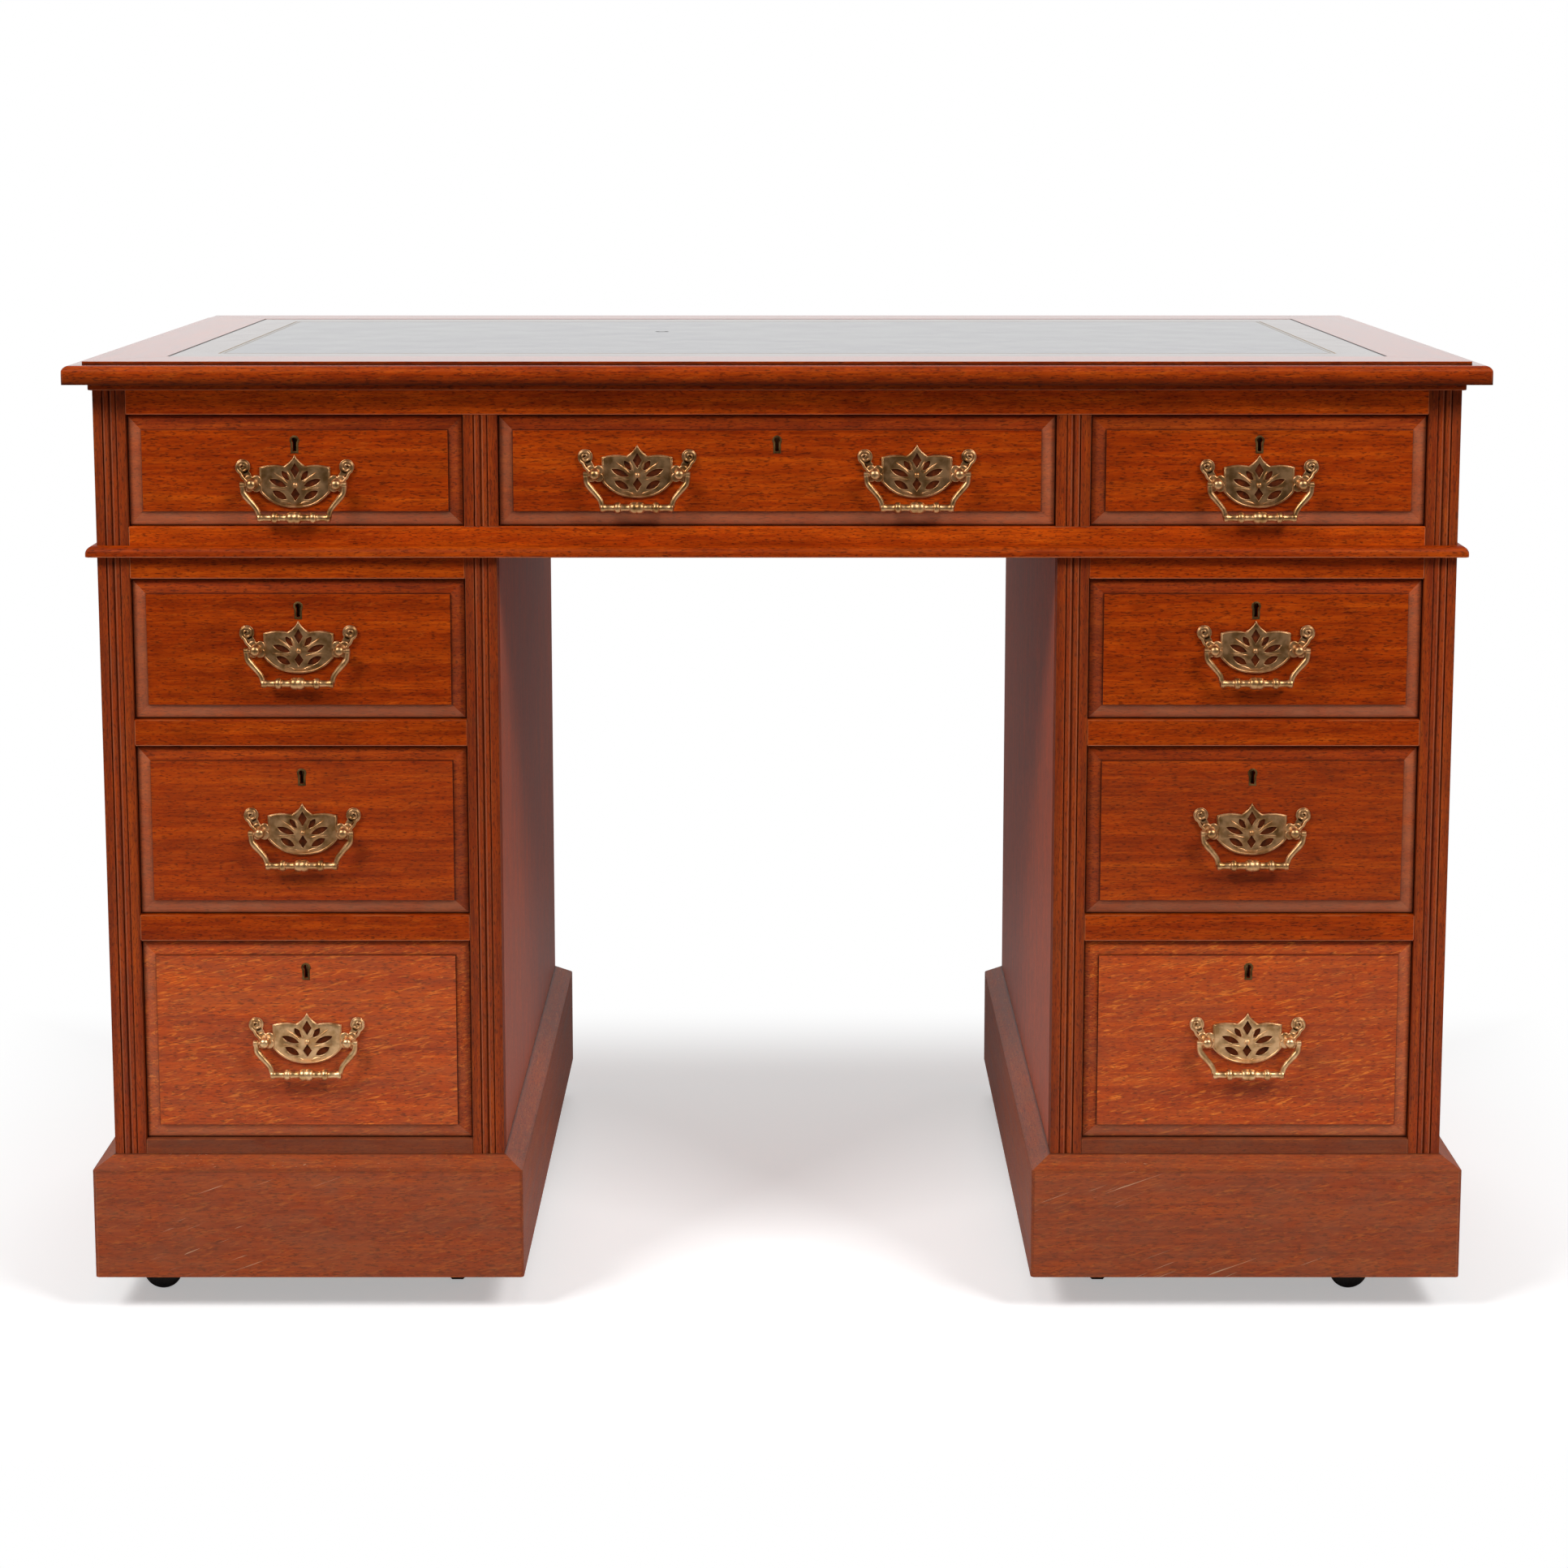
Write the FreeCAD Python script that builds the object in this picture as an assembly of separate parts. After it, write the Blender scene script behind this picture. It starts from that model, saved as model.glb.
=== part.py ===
import FreeCAD
import Part
import math
import os

# An oak pedestal desk: a moulded top with a leather writing surface, a frieze with three drawers,
# and two pedestals with three graduated drawers each, on plinths that hide castors.
# Millimetres. X runs across the front, Y from front to back, Z up from the floor.
# The origin is on the floor under the middle of the top.

# Top
top_width = 1120.0
top_depth = 640.0
top_thickness = 17.5
front_overhang = 25.0
side_overhang = 19.0
back_overhang = 20.0
border_width = 70.0
edge_step_reach = 14.0
edge_step_height = 2.6
edge_ovolo_radius = 5.7
leather_thickness = 1.4
leather_sink = 0.2
bed_mould_height = 6.0
bed_mould_projection = 3.0

# Heights, from the floor up
plinth_clearance = 30.0
plinth_height = 100.0
bottom_rail_show = 12.0
lower_opening = 166.0
middle_opening = 139.0
upper_opening = 114.0
rail_height = 21.5
pedestal_top_rail = 18.0
frieze_lower_rail = 24.0
frieze_opening = 89.0
frieze_upper_rail = 25.5

# Case boards
pedestal_width = 318.0
stile_width = 25.5
stile_depth = 20.0
muntin_width = 27.0
side_thickness = 16.0
back_thickness = 10.0
board_thickness = 12.0
rail_depth = 60.0
case_floor_clearance = 50.0

# Reeds on the stiles: two round beads sunk between flats
bead_width = 5.8
bead_sink = 1.8

# Runners and stops
bearing_width = 18.0
guide_height = 12.0
centre_runner_height = 12.0
stop_width = 30.0
stop_depth = 15.0
stop_height = 5.0
stop_offset_share = 0.25

# Mouldings
base_mould_height = 9.0
base_mould_projection = 8.0
base_mould_nose = 3.0
base_mould_fillet = 2.0
plinth_projection = 16.0
plinth_chamfer_drop = 10.0
plinth_nose_radius = 2.0

# Drawer fronts
front_thickness = 20.0
front_gap = 0.8
bevel_width = 11.5
bevel_drop = 3.3
field_step = 1.7

# Drawer boxes
box_side_thickness = 10.0
box_side_gap = 1.0
box_run_gap = 0.2
box_top_gap = 7.0
box_back_gap = 32.0
box_back_drop = 4.0
bottom_thickness = 5.0
bottom_rise = 8.0
groove_depth = 4.0
tail_length = 10.0
tail_pitch = 34.0
tail_width_share = 0.62
tail_slope_share = 0.16

# Locks and keyholes
frieze_key_drop = 20.2
pedestal_key_drop = 22.0
keyhole_radius = 2.3
keyhole_slot_width = 3.0
keyhole_slot_length = 8.8
escutcheon_rim = 1.5
escutcheon_thickness = 1.2
escutcheon_proud = 0.4
escutcheon_fit = 0.05
lock_width = 44.0
lock_height = 34.0
lock_depth = 8.0
lock_key_depth = 3.0

# Brass backplate: heights are measured from the bail's pivot line
plate_thickness = 1.8
plate_half_width = 28.0
finial_height = 23.0
shoulder_height = 13.0
bowl_depth = 19.5
bowl_side_height = 6.5
finial_foot_share = 0.30
finial_foot_rise_share = 0.08
finial_curve_shares = (0.12, 0.45)
shoulder_crown_shares = (0.68, 1.14)
bowl_corner_shares = (0.48, 0.90)
bowl_curve_shares = (0.76, 0.67)
ear_radius = 6.0
ear_eye_radius = 2.0
ear_reach = 43.0
ear_stem_width = 5.0
rosette_petal_radius = 3.7
rosette_petal_reach = 3.7
rosette_petals = 4
rosette_thickness = 2.6

# Pierced palmette: places from the pivot line, sizes along and across each opening
top_diamond_height = 10.7
top_diamond_size = (5.8, 11.2)
low_diamond_height = -8.4
low_diamond_size = (5.2, 9.0)
upper_leaf_place = (7.1, 6.8)
upper_leaf_size = (7.6, 2.8)
upper_leaf_angle = 58.0
middle_leaf_place = (12.9, 1.0)
middle_leaf_size = (11.8, 3.2)
middle_leaf_angle = 26.0
lower_leaf_place = (11.4, -9.2)
lower_leaf_size = (10.4, 3.2)
lower_leaf_angle = 29.0

# Posts and nuts
post_spacing = 67.0
post_head_radius = 4.2
post_head_reach = 13.6
post_shank_radius = 2.2
post_fit = 0.1
nut_radius = 5.0
nut_thickness = 4.0
pivot_reach = 10.5
pivot_radius = 1.5
pivot_fit = 0.05
pivot_depth = 3.0

# Bail
bail_knuckle_radius = 2.6
bail_knuckle_length = 3.8
bail_side_gap = 0.9
arm_radius = 1.9
arm_knee_shares = (0.02, 0.30)
arm_neck_shares = (0.72, 0.64)
bar_drop = 26.3
bar_half_length = 29.0
bar_radius = 2.4
bar_barrel_radius = 4.7
bar_barrel_half_length = 5.8
bar_bead_radius = 4.0
bar_bead_place = 16.0
bar_bead_half_length = 2.2
bar_knob_radius = 3.2
bar_knob_half_length = 2.0
bar_chamfer = 1.2

# Handle drops: from the top of a drawer opening to the tip of the finial
frieze_handle_drop = 31.5
centre_handle_drop = 23.5
upper_handle_drop = 33.5
middle_handle_drop = 46.5
lower_handle_drop = 59.5
centre_handle_offset_share = 0.25

# Castors
castor_inset = 46.0
wheel_radius = 16.0
wheel_width = 12.0
wheel_chamfer = 1.5
axle_radius = 2.5
axle_fit = 0.08
axle_seat = 0.02
horn_trail = 18.0
horn_side_gap = 0.6
horn_arm_thickness = 3.0
horn_boss_radius = 5.0
horn_crown_gap = 2.0
horn_crown_thickness = 6.0
horn_crown_radius = 10.0
collar_radius = 12.0
collar_gap = 0.1
stem_radius = 5.5
stem_length = 40.0
stem_fit = 0.08
front_castor_angles = (180.0, 90.0)
back_castor_angles = (215.0, 150.0)

# One overrun serves every cut
overrun = 1.0

# Planes and levels worked out from the sizes above
top_half_width = top_width / 2
top_half_depth = top_depth / 2
case_half_width = top_half_width - side_overhang
case_front = front_overhang - top_half_depth
case_back = top_half_depth - back_overhang
case_middle_y = (case_front + case_back) / 2
case_half_depth = (case_back - case_front) / 2
stile_back = case_front + stile_depth
rail_back = case_front + rail_depth
back_front = case_back - back_thickness
front_back = case_front + front_thickness

plinth_top = plinth_clearance + plinth_height
lower_floor = plinth_top + bottom_rail_show
lower_ceiling = lower_floor + lower_opening
middle_floor = lower_ceiling + rail_height
middle_ceiling = middle_floor + middle_opening
upper_floor = middle_ceiling + rail_height
upper_ceiling = upper_floor + upper_opening
pedestal_top = upper_ceiling + pedestal_top_rail
frieze_floor = pedestal_top + frieze_lower_rail
frieze_ceiling = frieze_floor + frieze_opening
slab_bottom = frieze_ceiling + frieze_upper_rail
slab_top = slab_bottom + top_thickness

pedestal_opening_width = pedestal_width - 2 * stile_width
muntin_inner = case_half_width - stile_width - pedestal_opening_width - muntin_width
centre_opening_width = 2 * muntin_inner
centre_handle_offset = centre_opening_width * centre_handle_offset_share
side_opening_centre = case_half_width - stile_width - pedestal_opening_width / 2

X_AXIS = FreeCAD.Vector(1, 0, 0)
Y_AXIS = FreeCAD.Vector(0, 1, 0)
Z_AXIS = FreeCAD.Vector(0, 0, 1)
ORIGIN = FreeCAD.Vector(0, 0, 0)


class Opening:
    """A drawer's opening in the case, with the handles that its drawer carries."""

    def __init__(self, name, centre, floor, width, height, handle_drop, handle_offsets, key_drop):
        self.name = name
        self.centre = centre
        self.floor = floor
        self.width = width
        self.height = height
        self.ceiling = floor + height
        self.handle_height = self.ceiling - handle_drop - finial_height
        self.handle_offsets = handle_offsets
        self.key_height = self.ceiling - key_drop


def openings():
    """The nine drawer openings, from the frieze down."""
    found = []
    frieze = (
        ("frieze_left", -side_opening_centre, pedestal_opening_width, frieze_handle_drop, (0,)),
        ("frieze_centre", 0, centre_opening_width, centre_handle_drop,
         (-centre_handle_offset, centre_handle_offset)),
        ("frieze_right", side_opening_centre, pedestal_opening_width, frieze_handle_drop, (0,)),
    )
    for name, centre, width, drop, offsets in frieze:
        found.append(Opening(name, centre, frieze_floor, width, frieze_opening, drop, offsets,
                             frieze_key_drop))
    levels = (
        ("upper", upper_floor, upper_opening, upper_handle_drop),
        ("middle", middle_floor, middle_opening, middle_handle_drop),
        ("lower", lower_floor, lower_opening, lower_handle_drop),
    )
    for hand, centre in (("left", -side_opening_centre), ("right", side_opening_centre)):
        for level, floor, height, drop in levels:
            name = f"{hand}_{level}"
            found.append(Opening(name, centre, floor, pedestal_opening_width, height, drop, (0,),
                                 pedestal_key_drop))
    return found


def castor_places():
    """Name, stem place and trail angle of each castor."""
    found = []
    reach = case_half_width - castor_inset
    near = case_half_width - pedestal_width + castor_inset
    columns = (("left", "outer", -reach), ("left", "inner", -near),
               ("right", "inner", near), ("right", "outer", reach))
    for hand, column, x in columns:
        rows = (("front", case_front + castor_inset, front_castor_angles),
                ("back", case_back - castor_inset, back_castor_angles))
        for row, y, angles in rows:
            angle = angles[0] if column == "outer" else angles[1]
            found.append((f"{hand}_{row}_{column}", x, y, angle))
    return found


def block(x0, x1, y0, y1, z0, z1):
    """A box between two corners."""
    return Part.makeBox(x1 - x0, y1 - y0, z1 - z0, FreeCAD.Vector(x0, y0, z0))


def flat_face(points):
    """A flat face inside a closed line through the points."""
    return Part.Face(Part.makePolygon(points + points[:1]))


def rod(x, y, z, axis, radius, length):
    """A round bar that starts at a point and runs along an axis."""
    return Part.makeCylinder(radius, length, FreeCAD.Vector(x, y, z), axis)


def line(start, end):
    """A straight edge."""
    return Part.LineSegment(start, end).toShape()


def arc(start, through, end):
    """A round edge through three points."""
    return Part.Arc(start, through, end).toShape()


def joined(solids):
    """One solid fused from several, with the seams between flush faces taken out."""
    return solids[0].multiFuse(solids[1:]).removeSplitter()


def save(node, solids):
    """Write a node's solids to its file."""
    Part.makeCompound(solids).exportStep(f"parts/{node}.step")


def mitred_boards(section, half_width, half_depth, middle_y, reach, inner, sides):
    """Boards of one section round a rectangle, cut at 45 degrees where they meet.

    The section is a face in the YZ plane for the front board: its Y is 0 on the rectangle's
    front line and falls outwards. It reaches that far outwards, and the other measure inwards.
    """
    boards = []
    spans = {"front": (half_width, half_depth, 0), "right": (half_depth, half_width, 90),
             "back": (half_width, half_depth, 180), "left": (half_depth, half_width, 270)}
    for side in sides:
        half_length, distance, turn = spans[side]
        run = half_length + reach + overrun
        bar = section.copy()
        bar.translate(FreeCAD.Vector(-run, -distance, 0))
        bar = bar.extrude(FreeCAD.Vector(2 * run, 0, 0))
        box = bar.BoundBox
        outer = half_length + reach
        inward = half_length - inner
        plan = flat_face([
            FreeCAD.Vector(-outer, -distance - reach, box.ZMin),
            FreeCAD.Vector(outer, -distance - reach, box.ZMin),
            FreeCAD.Vector(inward, inner - distance, box.ZMin),
            FreeCAD.Vector(-inward, inner - distance, box.ZMin),
        ])
        board = bar.common(plan.extrude(FreeCAD.Vector(0, 0, box.ZLength)))
        board.rotate(ORIGIN, Z_AXIS, turn)
        board.translate(FreeCAD.Vector(0, middle_y, 0))
        boards.append(board)
    return boards


def top_section():
    """The border's section: a step below the face, a flat fillet, an ovolo and a plain edge."""
    def point(inward, height):
        return FreeCAD.Vector(0, inward, slab_bottom + height)

    fillet = top_thickness - edge_step_height
    ovolo_foot = fillet - edge_ovolo_radius
    bulge = edge_ovolo_radius * (1 - math.sqrt(0.5))
    edges = [
        line(point(border_width, 0), point(0, 0)),
        line(point(0, 0), point(0, ovolo_foot)),
        arc(point(0, ovolo_foot), point(bulge, fillet - bulge), point(edge_ovolo_radius, fillet)),
        line(point(edge_ovolo_radius, fillet), point(edge_step_reach, fillet)),
        line(point(edge_step_reach, fillet), point(edge_step_reach, top_thickness)),
        line(point(edge_step_reach, top_thickness), point(border_width, top_thickness)),
        line(point(border_width, top_thickness), point(border_width, 0)),
    ]
    return Part.Face(Part.Wire(edges))


def make_top():
    """Four mitred border boards round a core panel, and the leather let in on the panel."""
    boards = mitred_boards(top_section(), top_half_width, top_half_depth, 0, 0, border_width,
                           ("front", "right", "back", "left"))
    half_x = top_half_width - border_width
    half_y = top_half_depth - border_width
    leather_top = slab_top - leather_sink
    core_top = leather_top - leather_thickness
    core = block(-half_x, half_x, -half_y, half_y, slab_bottom, core_top)
    leather = block(-half_x, half_x, -half_y, half_y, core_top, leather_top)
    save("top_frame", boards + [core])
    save("writing_leather", [leather])


def reeded_post(left, width, floor, ceiling):
    """A stile or muntin with two beads worked down its face."""
    def point(x, sunk):
        return FreeCAD.Vector(left + x, case_front + sunk, floor)

    start = width / 2 - bead_width
    middle = width / 2
    end = width / 2 + bead_width
    edges = [
        line(point(0, stile_depth), point(0, 0)),
        line(point(0, 0), point(start, 0)),
        line(point(start, 0), point(start, bead_sink)),
        arc(point(start, bead_sink), point(start + bead_width / 2, 0), point(middle, bead_sink)),
        arc(point(middle, bead_sink), point(middle + bead_width / 2, 0), point(end, bead_sink)),
        line(point(end, bead_sink), point(end, 0)),
        line(point(end, 0), point(width, 0)),
        line(point(width, 0), point(width, stile_depth)),
        line(point(width, stile_depth), point(0, stile_depth)),
    ]
    return Part.Face(Part.Wire(edges)).extrude(FreeCAD.Vector(0, 0, ceiling - floor))


def guided_runner(inner_face, hand, floor, height):
    """A runner on a side board, with the guide that the drawer's side slides along.

    The hand is 1 where the drawer lies towards +X of the side board, and -1 where towards -X.
    """
    guide = stile_width - side_thickness
    bearing = guide + bearing_width
    top = floor
    foot = floor - height
    outline = ((0, foot), (bearing, foot), (bearing, top), (guide, top),
               (guide, top + guide_height), (0, top + guide_height))
    points = [FreeCAD.Vector(inner_face + hand * x, rail_back, z) for x, z in outline]
    return flat_face(points).extrude(FreeCAD.Vector(0, back_front - rail_back, 0))


def centre_runner(centre):
    """A runner behind a muntin that carries a drawer on each side of one guide."""
    guide = muntin_width / 2
    bearing = guide + bearing_width
    foot = frieze_floor - centre_runner_height
    outline = ((-bearing, foot), (bearing, foot), (bearing, frieze_floor), (guide, frieze_floor),
               (guide, frieze_floor + guide_height), (-guide, frieze_floor + guide_height),
               (-guide, frieze_floor), (-bearing, frieze_floor))
    points = [FreeCAD.Vector(centre + x, rail_back, z) for x, z in outline]
    return flat_face(points).extrude(FreeCAD.Vector(0, back_front - rail_back, 0))


def drawer_stops(opening):
    """Two blocks on the rail that the back of a closed drawer's front meets."""
    stops = []
    for hand in (-1, 1):
        middle = opening.centre + hand * opening.width * stop_offset_share
        stops.append(block(middle - stop_width / 2, middle + stop_width / 2,
                           front_back, front_back + stop_depth,
                           opening.floor, opening.floor + stop_height))
    return stops


def bed_mould():
    """A thin square strip under the top, on the front and both ends."""
    foot = slab_bottom - bed_mould_height
    section = flat_face([
        FreeCAD.Vector(0, 0, foot),
        FreeCAD.Vector(0, -bed_mould_projection, foot),
        FreeCAD.Vector(0, -bed_mould_projection, slab_bottom),
        FreeCAD.Vector(0, 0, slab_bottom),
    ])
    return mitred_boards(section, case_half_width, case_half_depth, case_middle_y,
                         bed_mould_projection, 0, ("front", "right", "left"))


def base_mould():
    """The moulding at the foot of the frieze: a square nose under a hollow."""
    def point(outward, height):
        return FreeCAD.Vector(0, -outward, pedestal_top + height)

    hollow_out = base_mould_projection - base_mould_fillet
    hollow_up = base_mould_height - base_mould_nose
    deep = 1 - math.sqrt(0.5)
    edges = [
        line(point(0, 0), point(base_mould_projection, 0)),
        line(point(base_mould_projection, 0), point(base_mould_projection, base_mould_nose)),
        arc(point(base_mould_projection, base_mould_nose),
            point(base_mould_projection - hollow_out * deep, base_mould_height - hollow_up * deep),
            point(base_mould_fillet, base_mould_height)),
        line(point(base_mould_fillet, base_mould_height), point(0, base_mould_height)),
        line(point(0, base_mould_height), point(0, 0)),
    ]
    return mitred_boards(Part.Face(Part.Wire(edges)), case_half_width, case_half_depth,
                         case_middle_y, base_mould_projection, 0, ("front", "right", "left"))


def make_frieze(places):
    """The case under the top: ends, back, stiles, rails, muntins, runners, stops and mouldings."""
    inner = case_half_width - side_thickness
    solids = []
    for hand in (-1, 1):
        x0, x1 = sorted((hand * case_half_width, hand * inner))
        solids.append(block(x0, x1, stile_back, case_back, pedestal_top, slab_bottom))
        stile_left = min(hand * case_half_width, hand * (case_half_width - stile_width))
        solids.append(reeded_post(stile_left, stile_width, pedestal_top, slab_bottom))
        muntin_centre = hand * (muntin_inner + muntin_width / 2)
        solids.append(reeded_post(muntin_centre - muntin_width / 2, muntin_width,
                                  frieze_floor, frieze_ceiling))
        solids.append(guided_runner(hand * inner, -hand, frieze_floor, centre_runner_height))
        solids.append(centre_runner(muntin_centre))
    rail_half = case_half_width - stile_width
    solids.append(block(-inner, inner, back_front, case_back, pedestal_top, slab_bottom))
    solids.append(block(-rail_half, rail_half, case_front, rail_back, pedestal_top, frieze_floor))
    solids.append(block(-rail_half, rail_half, case_front, rail_back, frieze_ceiling, slab_bottom))
    for place in places:
        solids += drawer_stops(place)
    save("frieze_case", solids + bed_mould() + base_mould())


def castor_blocks(left, right):
    """A bored block in each corner of a pedestal's foot, centred on its castor's stem."""
    blocks = []
    block_top = lower_floor - rail_height - board_thickness
    half_x = castor_inset - side_thickness
    rows = ((case_front + castor_inset, castor_inset - stile_depth),
            (case_back - castor_inset, castor_inset - back_thickness))
    for x in (left + castor_inset, right - castor_inset):
        for y, half_y in rows:
            body = block(x - half_x, x + half_x, y - half_y, y + half_y,
                         case_floor_clearance, block_top)
            bore_length = block_top - case_floor_clearance + 2 * overrun
            bore = rod(x, y, case_floor_clearance - overrun, Z_AXIS, stem_radius + stem_fit,
                       bore_length)
            blocks.append(body.cut(bore))
    return blocks


def make_pedestal(name, left, places):
    """A pedestal's case: sides, stiles, back, boards, rails, runners, stops and castor blocks."""
    right = left + pedestal_width
    inner_left = left + side_thickness
    inner_right = right - side_thickness
    opening_left = left + stile_width
    opening_right = right - stile_width
    foot = case_floor_clearance
    board_top = lower_floor - rail_height
    solids = [
        block(left, inner_left, stile_back, case_back, foot, pedestal_top),
        block(inner_right, right, stile_back, case_back, foot, pedestal_top),
        reeded_post(left, stile_width, foot, pedestal_top),
        reeded_post(opening_right, stile_width, foot, pedestal_top),
        block(inner_left, inner_right, back_front, case_back, foot, pedestal_top),
        block(opening_left, opening_right, case_front, stile_back, foot, board_top),
        block(inner_left, inner_right, stile_back, back_front, board_top - board_thickness, board_top),
        block(opening_left, opening_right, case_front, rail_back, upper_ceiling, pedestal_top),
        block(inner_left, inner_right, rail_back, back_front,
              pedestal_top - board_thickness, pedestal_top),
    ]
    for place in places:
        solids.append(block(opening_left, opening_right, case_front, rail_back,
                            place.floor - rail_height, place.floor))
        solids.append(guided_runner(inner_left, 1, place.floor, rail_height))
        solids.append(guided_runner(inner_right, -1, place.floor, rail_height))
        solids += drawer_stops(place)
    save(name, solids + castor_blocks(left, right))


def make_plinth(name, left):
    """Four mitred plinth boards round a pedestal's foot, with a sloped top and a round nose."""
    def point(outward, height):
        return FreeCAD.Vector(0, -outward, plinth_clearance + height)

    shoulder = plinth_height - plinth_chamfer_drop
    nose_in = plinth_projection - plinth_nose_radius
    nose_foot = shoulder - plinth_nose_radius
    bulge = plinth_nose_radius * math.sqrt(0.5)
    edges = [
        line(point(0, 0), point(plinth_projection, 0)),
        line(point(plinth_projection, 0), point(plinth_projection, nose_foot)),
        arc(point(plinth_projection, nose_foot), point(nose_in + bulge, nose_foot + bulge),
            point(nose_in, shoulder)),
        line(point(nose_in, shoulder), point(0, plinth_height)),
        line(point(0, plinth_height), point(0, 0)),
    ]
    boards = mitred_boards(Part.Face(Part.Wire(edges)), pedestal_width / 2, case_half_depth,
                           case_middle_y, plinth_projection, 0, ("front", "right", "back", "left"))
    for board in boards:
        board.translate(FreeCAD.Vector(left + pedestal_width / 2, 0, 0))
    save(name, boards)


def keyhole(x, z, front, depth, margin):
    """A keyhole's shape, a round eye over a straight slot, grown outwards by a margin."""
    half = keyhole_slot_width / 2 + margin
    eye = rod(x, front, z, Y_AXIS, keyhole_radius + margin, depth)
    foot = z - keyhole_slot_length - margin
    slot = block(x - half, x + half, front, front + depth, foot, z)
    return joined([eye, slot])


def tails(x0, x1, shoulder_y, direction, floor, height):
    """Dovetail tails on the end of a drawer side, widest at their outer ends."""
    count = max(2, round(height / tail_pitch))
    pitch = height / count
    wide = pitch * tail_width_share / 2
    narrow = wide - tail_length * tail_slope_share
    end_y = shoulder_y + direction * tail_length
    found = []
    for number in range(count):
        middle = floor + pitch * (number + 1 / 2)
        face = flat_face([
            FreeCAD.Vector(x0, shoulder_y, middle - narrow),
            FreeCAD.Vector(x0, end_y, middle - wide),
            FreeCAD.Vector(x0, end_y, middle + wide),
            FreeCAD.Vector(x0, shoulder_y, middle + narrow),
        ])
        found.append(face.extrude(FreeCAD.Vector(x1 - x0, 0, 0)))
    return found


class DrawerBox:
    """The sizes of a drawer's box, which its front and its linings share."""

    def __init__(self, opening):
        half = opening.width / 2 - box_side_gap
        self.left = opening.centre - half
        self.right = opening.centre + half
        self.floor = opening.floor + box_run_gap
        self.ceiling = opening.ceiling - box_top_gap
        self.panel_floor = self.floor + bottom_rise
        self.panel_top = self.panel_floor + bottom_thickness
        self.back_outer = back_front - box_back_gap
        self.back_inner = self.back_outer - tail_length
        self.sides = ((self.left, self.left + box_side_thickness),
                      (self.right - box_side_thickness, self.right))

    def front_tails(self, x0, x1):
        """The tails that a side lets into the back of the front."""
        return tails(x0, x1, front_back, -1, self.panel_top, self.ceiling - self.panel_top)

    def back_tails(self, x0, x1):
        """The tails that a side passes through the back."""
        height = self.ceiling - box_back_drop - self.panel_top
        return tails(x0, x1, self.back_inner, 1, self.panel_top, height)

    def panel(self):
        """The bottom panel, let into the sides and the front and run under the back."""
        inset = box_side_thickness - groove_depth
        return block(self.left + inset, self.right - inset, front_back - groove_depth,
                     self.back_outer, self.panel_floor, self.panel_top)


def make_drawer_front(opening, box):
    """A raised and fielded front, bored for its handle and its lock, with dovetail sockets."""
    half = opening.width / 2 - front_gap
    left = opening.centre - half
    right = opening.centre + half
    floor = opening.floor + front_gap
    ceiling = opening.ceiling - front_gap
    bevel_front = case_front + field_step
    bevel_back = bevel_front + bevel_drop
    slab = block(left, right, bevel_back, front_back, floor, ceiling)
    bevel = Part.makeLoft([
        Part.makePolygon([FreeCAD.Vector(x, y, z) for x, z in (
            (left + inset, floor + inset), (right - inset, floor + inset),
            (right - inset, ceiling - inset), (left + inset, ceiling - inset),
            (left + inset, floor + inset))])
        for y, inset in ((bevel_back, 0), (bevel_front, bevel_width))
    ], True, True)
    field = block(left + bevel_width, right - bevel_width, case_front, bevel_front,
                  floor + bevel_width, ceiling - bevel_width)
    front = joined([slab, bevel, field])
    tools = [box.panel()]
    for x0, x1 in box.sides:
        tools += box.front_tails(x0, x1)
    key = opening.key_height
    tools.append(keyhole(opening.centre, key, case_front - overrun, front_thickness, 0))
    recess_depth = escutcheon_thickness - escutcheon_proud + overrun
    tools.append(keyhole(opening.centre, key, case_front - overrun, recess_depth,
                         escutcheon_rim + escutcheon_fit))
    tools.append(lock_body(opening, overrun))
    for x, z in post_places(opening):
        tools.append(rod(x, case_front - overrun, z, Y_AXIS, post_shank_radius + post_fit,
                         front_thickness + 2 * overrun))
    save(f"{opening.name}_drawer_front", [front.cut(Part.makeCompound(tools))])


def make_drawer_box(opening, box):
    """Two dovetailed sides, a back and a bottom panel."""
    panel = box.panel()
    sides = []
    sockets = []
    for x0, x1 in box.sides:
        plank = block(x0, x1, front_back, box.back_inner, box.floor, box.ceiling)
        heel = block(x0, x1, box.back_inner, box.back_outer, box.floor, box.panel_top)
        back_tails = box.back_tails(x0, x1)
        side = joined([plank, heel] + box.front_tails(x0, x1) + back_tails)
        sides.append(side.cut(panel))
        sockets += back_tails
    back = block(box.left, box.right, box.back_inner, box.back_outer,
                 box.panel_top, box.ceiling - box_back_drop)
    back = back.cut(Part.makeCompound(sockets))
    save(f"{opening.name}_drawer_box", sides + [back, panel])


def lock_body(opening, extra_height):
    """The lock's case, let into the back of the front and open at its top edge."""
    half = lock_width / 2
    top = opening.ceiling - front_gap
    return block(opening.centre - half, opening.centre + half, front_back - lock_depth, front_back,
                 top - lock_height, top + extra_height)


def post_places(opening):
    """The places of a drawer's handle posts on its face."""
    half = post_spacing / 2
    return [(opening.centre + offset + hand * half, opening.handle_height)
            for offset in opening.handle_offsets for hand in (-1, 1)]


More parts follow.
